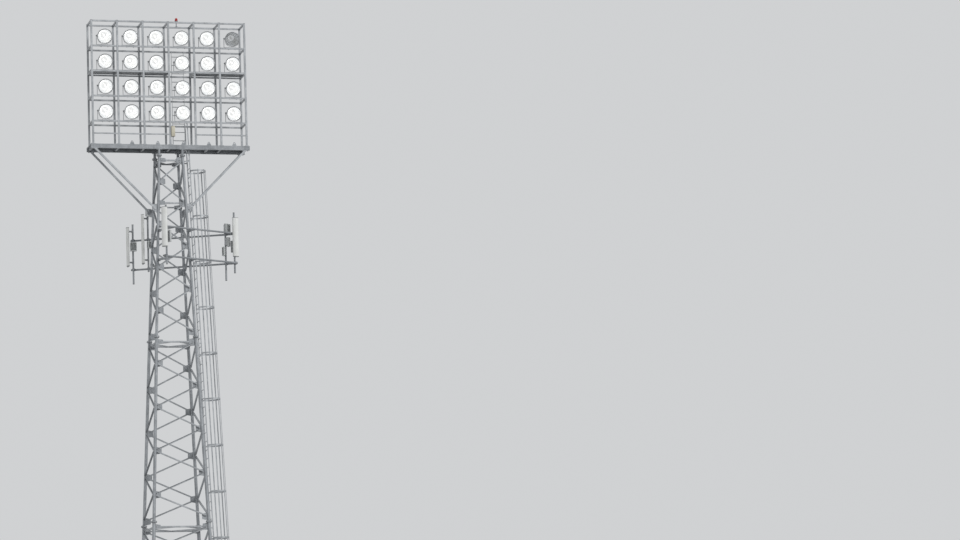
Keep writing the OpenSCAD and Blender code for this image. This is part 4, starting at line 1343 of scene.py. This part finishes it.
@dataclass
class Antennas(Assembly):
    """The panel antennas and radio units, and the clamps of the pipes and masts that carry them."""

    tower: Tower
    apex: float = 2.12
    spread: float = math.radians(27)
    stand: float = 0.07
    drop: float = 2.5
    step: float = 0.97
    pipe: float = 0.03
    pipe_start: float = -0.04
    pipe_ends: Span = (2.98, 3.54)
    leg: float = 0.0445
    leg_seat: float = 0.0665
    leg_bolt: float = 0.012
    leg_bolts: Span = (-0.029, 0.029)
    pipe_bolt: float = 0.008
    pipe_bolts: Span = (-0.0375, 0.0375)
    bracket: float = 0.13
    bracket_seat: float = 0.044
    bracket_bolts: Span = (-0.018, 0.018)
    end_cap: float = 0.014
    radio_hold: float = 0.07
    radio_seat: float = 0.0365
    masts: Tuple[Mast, ...] = (
        Mast(1, 0.0, 0.0, -1.3, 0.7), Mast(-1, 2.9, 0.14, -1.25, 0.68),
        Mast(1, 3.45, 0.0, -1.45, 0.53), Mast(1, 2.93, 0.0, -1.07, 1.01),
        Mast(1, 0.3, 0.0, -1.53, 0.35))
    panels: Tuple[Hung, ...] = (
        Hung(0, -90, -0.79, 0.2, 0.09, 1.29, 0.185), Hung(1, -125, -0.69, 0.2, 0.09, 1.29, 0.1),
        Hung(2, 180, -0.86, 0.2, 0.09, 1.29, 0.135), Hung(3, 180, -0.81, 0.2, 0.09, 1.64, 0.135))
    radios: Tuple[Hung, ...] = (
        Hung(0, 80, -0.6, 0.23, 0.17, 0.38), Hung(1, 60, -0.51, 0.23, 0.17, 0.38),
        Hung(2, -90, -0.37, 0.2, 0.15, 0.3), Hung(3, -60, -0.3, 0.12, 0.11, 0.24),
        Hung(3, -60, 0.75, 0.2, 0.15, 0.24), Hung(4, -45, 0.06, 0.2, 0.15, 0.27),
        Hung(4, -20, -0.4, 0.2, 0.15, 0.29), Hung(4, -160, -0.71, 0.12, 0.11, 0.29))
    PANEL_PLUG: ClassVar[Rods] = ((-0.001, 0.007, 0.0125, 6), (0.007, 0.022, 0.0105, 16, 0.0095),
                                  (0.011, 0.017, 0.0112, 16))
    RADIO_PLUG: ClassVar[Rods] = ((-0.001, 0.006, 0.0135, 6), (0.006, 0.016, 0.0115, 16, 0.0105))
    PIPE_CAP: ClassVar[Outline] = ((0.0025, -0.012), (0.0025, 0.002), (0, 0.005))

    def __post_init__(self) -> None:
        """Works out the height of the upper pipes."""
        self.top = self.tower.top - self.drop

    def outward(self, side: int) -> Vector:
        """The way out from the tower across a side's pipes."""
        return Vector((math.sin(self.spread), side * math.cos(self.spread), 0))

    def point(self, side: int, along: float, out: float, z: float) -> Vector:
        """The place along a side's pipes from the apex, that far out from the tower."""
        run = Vector((-math.cos(self.spread), side * math.sin(self.spread), 0))
        return Vector((self.apex, 0, z)) + run * along + self.outward(side) * out

    def foot(self, mast: Mast, height: float = 0.0) -> Vector:
        """A mast's middle at a height above the upper pipes."""
        return self.point(mast.side, mast.along, mast.out, self.top + height)

    def hang(self, unit: Hung) -> Matrix:
        """The place of a unit's lower end on its mast's axis, its front along +X."""
        front = unit.front()
        return placed(self.foot(self.masts[unit.mast], unit.bottom) + front * unit.back, UP, front)

    @staticmethod
    def bow(width: float, depth: float) -> List[Span]:
        """A radome's outline: a flat back and a bowed front."""
        bowed = [(depth * (0.5 + 0.5 * c), width / 2 * s * (1 - 0.12 * c))
                 for c, s, _ in (way(math.radians(a)) for a in range(-90, 91, 9))]
        back = width / 2 - 0.01
        left = [(0, -back), (0.003, -back - 0.007), (0.01, -width / 2)]
        return [*left, *bowed, *((x, -y) for x, y in left[::-1])]

    def radome(self, unit: Hung) -> Piece:
        """One panel antenna: a bow-fronted radome between end caps, with connectors below."""
        b, cap, top = self.bench, self.end_cap, unit.height - self.end_cap
        bow = self.bow(unit.width - 0.008, unit.depth - 0.004)
        cover = b.prism(bow, cap - 0.002, top + 0.002)
        ribs = [b.slab((-0.0015, y - 0.012, cap), (0.001, y + 0.012, top), 0.0008)
                for y in (-0.05, 0.05)]
        shell = b.finish([cover, *ribs], Finishes.RADOME)
        outline = moved(self.bow(unit.width, unit.depth), -0.002)
        caps = [b.bevel(b.prism(outline, low, low + cap), 0.0025) for low in (0.0, top)]
        plugs = [part for y in (-0.06, 0.0, 0.06)
                 for part in b.stack(Vector((unit.depth * 0.45, y, 0)), -UP, self.PANEL_PLUG)]
        return b.join([shell, b.finish(caps, Finishes.END_CAP), b.finish(plugs, Finishes.BOLT)])

    def radio(self, unit: Hung) -> Piece:
        """One radio unit: a cast case, fins in front, end covers, rails and brackets behind."""
        b, x, y, z = self.bench, unit.depth, unit.width / 2, unit.height
        back, front, end, holds = 0.05, x - 0.028, z - 0.02, (self.radio_hold, z - self.radio_hold)
        case = b.slab((back, 0.002 - y, 0.01), (front, y - 0.002, z - 0.01), 0.005, 3)
        covers = [b.slab((back - 0.004, -y, low), (x, y, low + 0.021), 0.005, 3)
                  for low in (0.0, z - 0.021)]
        rows = 2 * int(unit.width // 0.024) + 1
        blade = b.slab((front - 0.001, 0.004 - y, 0.02), (x - 0.002, 0.0072 - y, end), 0.0008)
        fins = b.repeat(blade, rows, (0, (2 * y - 0.0112) / (rows - 1), 0))
        grips = [b.slab((x - 0.062, s - 0.002, 0.022), (x - 0.058, s + 0.002, z - 0.022), 0.001)
                 for s in (-y, y)]
        coat = b.finish([case, *covers, fins, *grips], Finishes.RADIO)
        metal = [b.slab((0.006, s - 0.01, 0.02), (back + 0.001, s + 0.01, end), 0.002, 2)
                 for s in (0.012 - y, y - 0.012)]
        metal += [b.slab((self.radio_seat - 0.006, 0.006 - y, h - 0.02),
                         (self.radio_seat, y - 0.006, h + 0.02), 0.001) for h in holds]
        for s in (-0.4 * y, 0.4 * y):
            metal += b.stack(Vector((x * 0.6, s, 0)), -UP, self.RADIO_PLUG)
        clasps = Clasp(b, self.pipe, self.radio_seat, self.pipe_bolt)
        held = clasps.at(Clasp.place(UP * h, UP, EAST) for h in holds)
        return b.join([coat, b.finish(metal, Finishes.BOLT), held])

    def clamps(self) -> None:
        """U-bolts at the leg saddles, the crossings of masts and pipes, and the brackets."""
        b = self.bench
        legs, crossings, brackets = [], [], []
        for z in (self.top, self.top - self.step):
            half = self.tower.half(z)
            legs += [Clasp.place(Vector((sx * half, side * half, z + dz)), UP, self.outward(side))
                     for side in SIDES for sx in SIDES for dz in self.leg_bolts]
            for mast in self.masts:
                for side in SIDES if mast.along == 0 else (mast.side,):
                    toward = self.outward(side) * (-1 if mast.out > self.stand else 1)
                    at, run = self.foot(mast, z - self.top), UP.cross(toward)
                    for off in self.pipe_bolts:
                        pipe = at + toward * self.stand + run * off
                        crossings += [Clasp.place(at + UP * off, UP, toward),
                                      Clasp.place(pipe, run, -toward)]
        for unit in self.panels:
            for end in (self.bracket, unit.height - self.bracket):
                at = self.foot(self.masts[unit.mast], unit.bottom + end)
                brackets += [Clasp.place(at + UP * dz, UP, unit.front())
                             for dz in self.bracket_bolts]
        made = [Clasp(b, self.leg, self.leg_seat, self.leg_bolt).at(legs),
                Clasp(b, self.pipe, self.stand, self.pipe_bolt).at(crossings),
                Clasp(b, self.pipe, self.bracket_seat, self.pipe_bolt).at(brackets)]
        b.deliver(b.join(made), "antenna_clamps")

    def caps(self) -> None:
        """Plastic caps on the ends of the pipes and masts."""
        b, places = self.bench, []
        cap = b.turned([(0.0, -0.012), *moved(self.PIPE_CAP, self.pipe), (0.0, 0.006)], 24)
        for mast in self.masts:
            places += [placed(self.foot(mast, mast.top)), placed(self.foot(mast, mast.bottom), -UP)]
        for z in (self.top, self.top - self.step):
            for side, end in zip(SIDES, self.pipe_ends):
                near = self.point(side, self.pipe_start, self.stand, z)
                far = self.point(side, end, self.stand, z)
                places += [placed(far, far - near, UP), placed(near, near - far, UP)]
        piece = b.spread(b.finish([cap], Finishes.END_CAP), places)
        b.deliver(piece, "pipe_caps", "antenna_panel")

    def build(self) -> None:
        """Builds the radomes, the radio units and their fittings."""
        b = self.bench
        for units, make, node, name, slot in (
                (self.panels, self.radome, "panel_antennas", "radomes", "antenna_panel"),
                (self.radios, self.radio, "radio_units", "radio_cases", "radio_casing")):
            made = []
            for unit in units:
                piece = make(unit)
                piece.data.transform(self.hang(unit))
                made.append(piece)
            b.deliver(b.join(made), name, slot, [node])
        self.clamps()
        self.caps()


@dataclass
class Viewpoint:
    """The photograph's camera: its place, how it is turned and its focal length in pixels."""

    stand: Triple = (-22.355, -117.542, 1.724)
    yaw: float = 15.5808
    pitch: float = 8.687
    roll: float = -1.9421
    focal: float = 3712.4
    picture: float = 960.0
    sensor: float = 36.0
    clip: Span = (1.0, 2000.0)

    def build(self) -> None:
        """Adds the camera."""
        yaw, pitch, roll = (math.radians(a) for a in (self.yaw, self.pitch, self.roll))
        ahead = Vector((math.sin(yaw), math.cos(yaw), math.tan(pitch))).normalized()
        level = Vector((math.cos(yaw), -math.sin(yaw), 0))
        above = level.cross(ahead)
        right = level * math.cos(roll) + above * math.sin(roll)
        top = above * math.cos(roll) - level * math.sin(roll)
        turn = Matrix((right, top, -ahead)).transposed().to_4x4()
        camera = bpy.data.objects.new("camera", bpy.data.cameras.new("camera"))
        camera.data.sensor_width = self.sensor
        camera.data.lens = self.focal / self.picture * self.sensor
        camera.data.clip_start, camera.data.clip_end = self.clip
        camera.matrix_world = Matrix.Translation(Vector(self.stand)) @ turn
        bpy.context.scene.collection.objects.link(camera)
        bpy.context.scene.camera = camera


@dataclass
class Studio:
    """The pale floor, the even sky and two soft lamps."""

    sky: float = 0.5
    sky_tint: Colour = (0.97, 0.985, 1)
    backdrop: Colour = (0.63, 0.64, 0.65)
    floor: Colour = (0.68, 0.68, 0.68)
    floor_size: float = 1600.0
    floor_drop: float = 0.002
    key: Tuple[float, float, Triple] = (1.75, 12, (-0.75, 1.0, -0.8))
    fill: Tuple[float, float, Triple] = (0.35, 40, (1.0, 0.35, -0.35))

    def lamp(self, name: str, strength: float, softness: float, toward: Triple) -> None:
        """Adds a soft far lamp that shines one way."""
        light = bpy.data.lights.new(name, "SUN")
        light.energy, light.angle = strength, math.radians(softness)
        lamp = bpy.data.objects.new(name, light)
        lamp.rotation_euler = (-Vector(toward)).to_track_quat("Z", "Y").to_euler()
        bpy.context.scene.collection.objects.link(lamp)

    def world(self) -> None:
        """An even sky, and the backdrop's colour for what the camera, metal and glass see."""
        world = bpy.data.worlds.new("studio")
        world.use_nodes = True
        bpy.context.scene.world = world
        nodes, links = world.node_tree.nodes, world.node_tree.links
        path = nodes.new("ShaderNodeLightPath")
        rays = path.outputs["Is Camera Ray"]
        for ray in ("Is Glossy Ray", "Is Transmission Ray"):
            seen = nodes.new("ShaderNodeMath")
            seen.operation, seen.use_clamp = "ADD", True
            links.new(rays, seen.inputs[0])
            links.new(path.outputs[ray], seen.inputs[1])
            rays = seen.outputs[0]
        even, shown = nodes["Background"], nodes.new("ShaderNodeBackground")
        even.inputs["Color"].default_value = (*self.sky_tint, 1)
        even.inputs["Strength"].default_value = self.sky
        shown.inputs["Color"].default_value = (*self.backdrop, 1)
        mixed = nodes.new("ShaderNodeMixShader")
        for i, output in enumerate((rays, even.outputs[0], shown.outputs[0])):
            links.new(output, mixed.inputs[i])
        links.new(mixed.outputs[0], nodes["World Output"].inputs["Surface"])

    def build(self) -> None:
        """Adds the floor, the lamps and the world."""
        bpy.ops.object.select_all(action="DESELECT")
        ground = (0, 0, CAD_BOX[0].z - self.floor_drop)
        bpy.ops.mesh.primitive_plane_add(size=self.floor_size, location=ground)
        floor = bpy.context.object
        floor.name = "floor"
        recipe = Recipe("floor")
        worn = tuple(0.98 * c for c in self.floor)
        recipe.feed(Base_Color=recipe.blend(recipe.noise(30.0, 1), self.floor, worn), Roughness=0.9)
        floor.data.materials.append(recipe.material)
        self.lamp("key", *self.key)
        self.lamp("fill", *self.fill)
        self.world()
        bpy.context.scene.view_settings.view_transform = "Standard"


class Dresser:
    """Gives every CAD node that stays its finish."""

    STARTS: ClassVar[Dict[Finishes, Tuple[str, ...]]] = {
        Finishes.LADDER: ("ladder", "inner_ladder"),
        Finishes.BRACE: ("bracing", "plan_bracing", "knee_braces"),
        Finishes.CHORD: ("main_chords", "platform_bearers", "stub_posts", "lifting_lugs",
                         "antenna"),
        Finishes.STIRRUP: ("stirrups",),
        Finishes.FRAME: ("frame", "cross_ties", "knee_rails"),
    }

    def finish(self, node: str) -> Finishes:
        """The finish of a CAD node, by how its name starts."""
        fits = [finish for finish, starts in self.STARTS.items() if node.startswith(starts)]
        return fits[0] if fits else Finishes.LEG

    def build(self, paint: PaintShop) -> None:
        """Dresses all CAD nodes."""
        for name, node in frame["nodes"].items():
            paint.coat(node, self.finish(name))


def main() -> None:
    """Builds the whole scene in order."""
    logging.basicConfig(level=logging.INFO, format="%(message)s")
    paint = PaintShop()
    bench = Bench(paint)
    Viewpoint().build()
    Dresser().build(paint)
    tower = Tower(bench)
    for assembly in (tower, Floodlight(bench), Headgear(bench, tower), Antennas(bench, tower)):
        assembly.build()
    Studio().build()


if __name__ == "__main__":
    main()
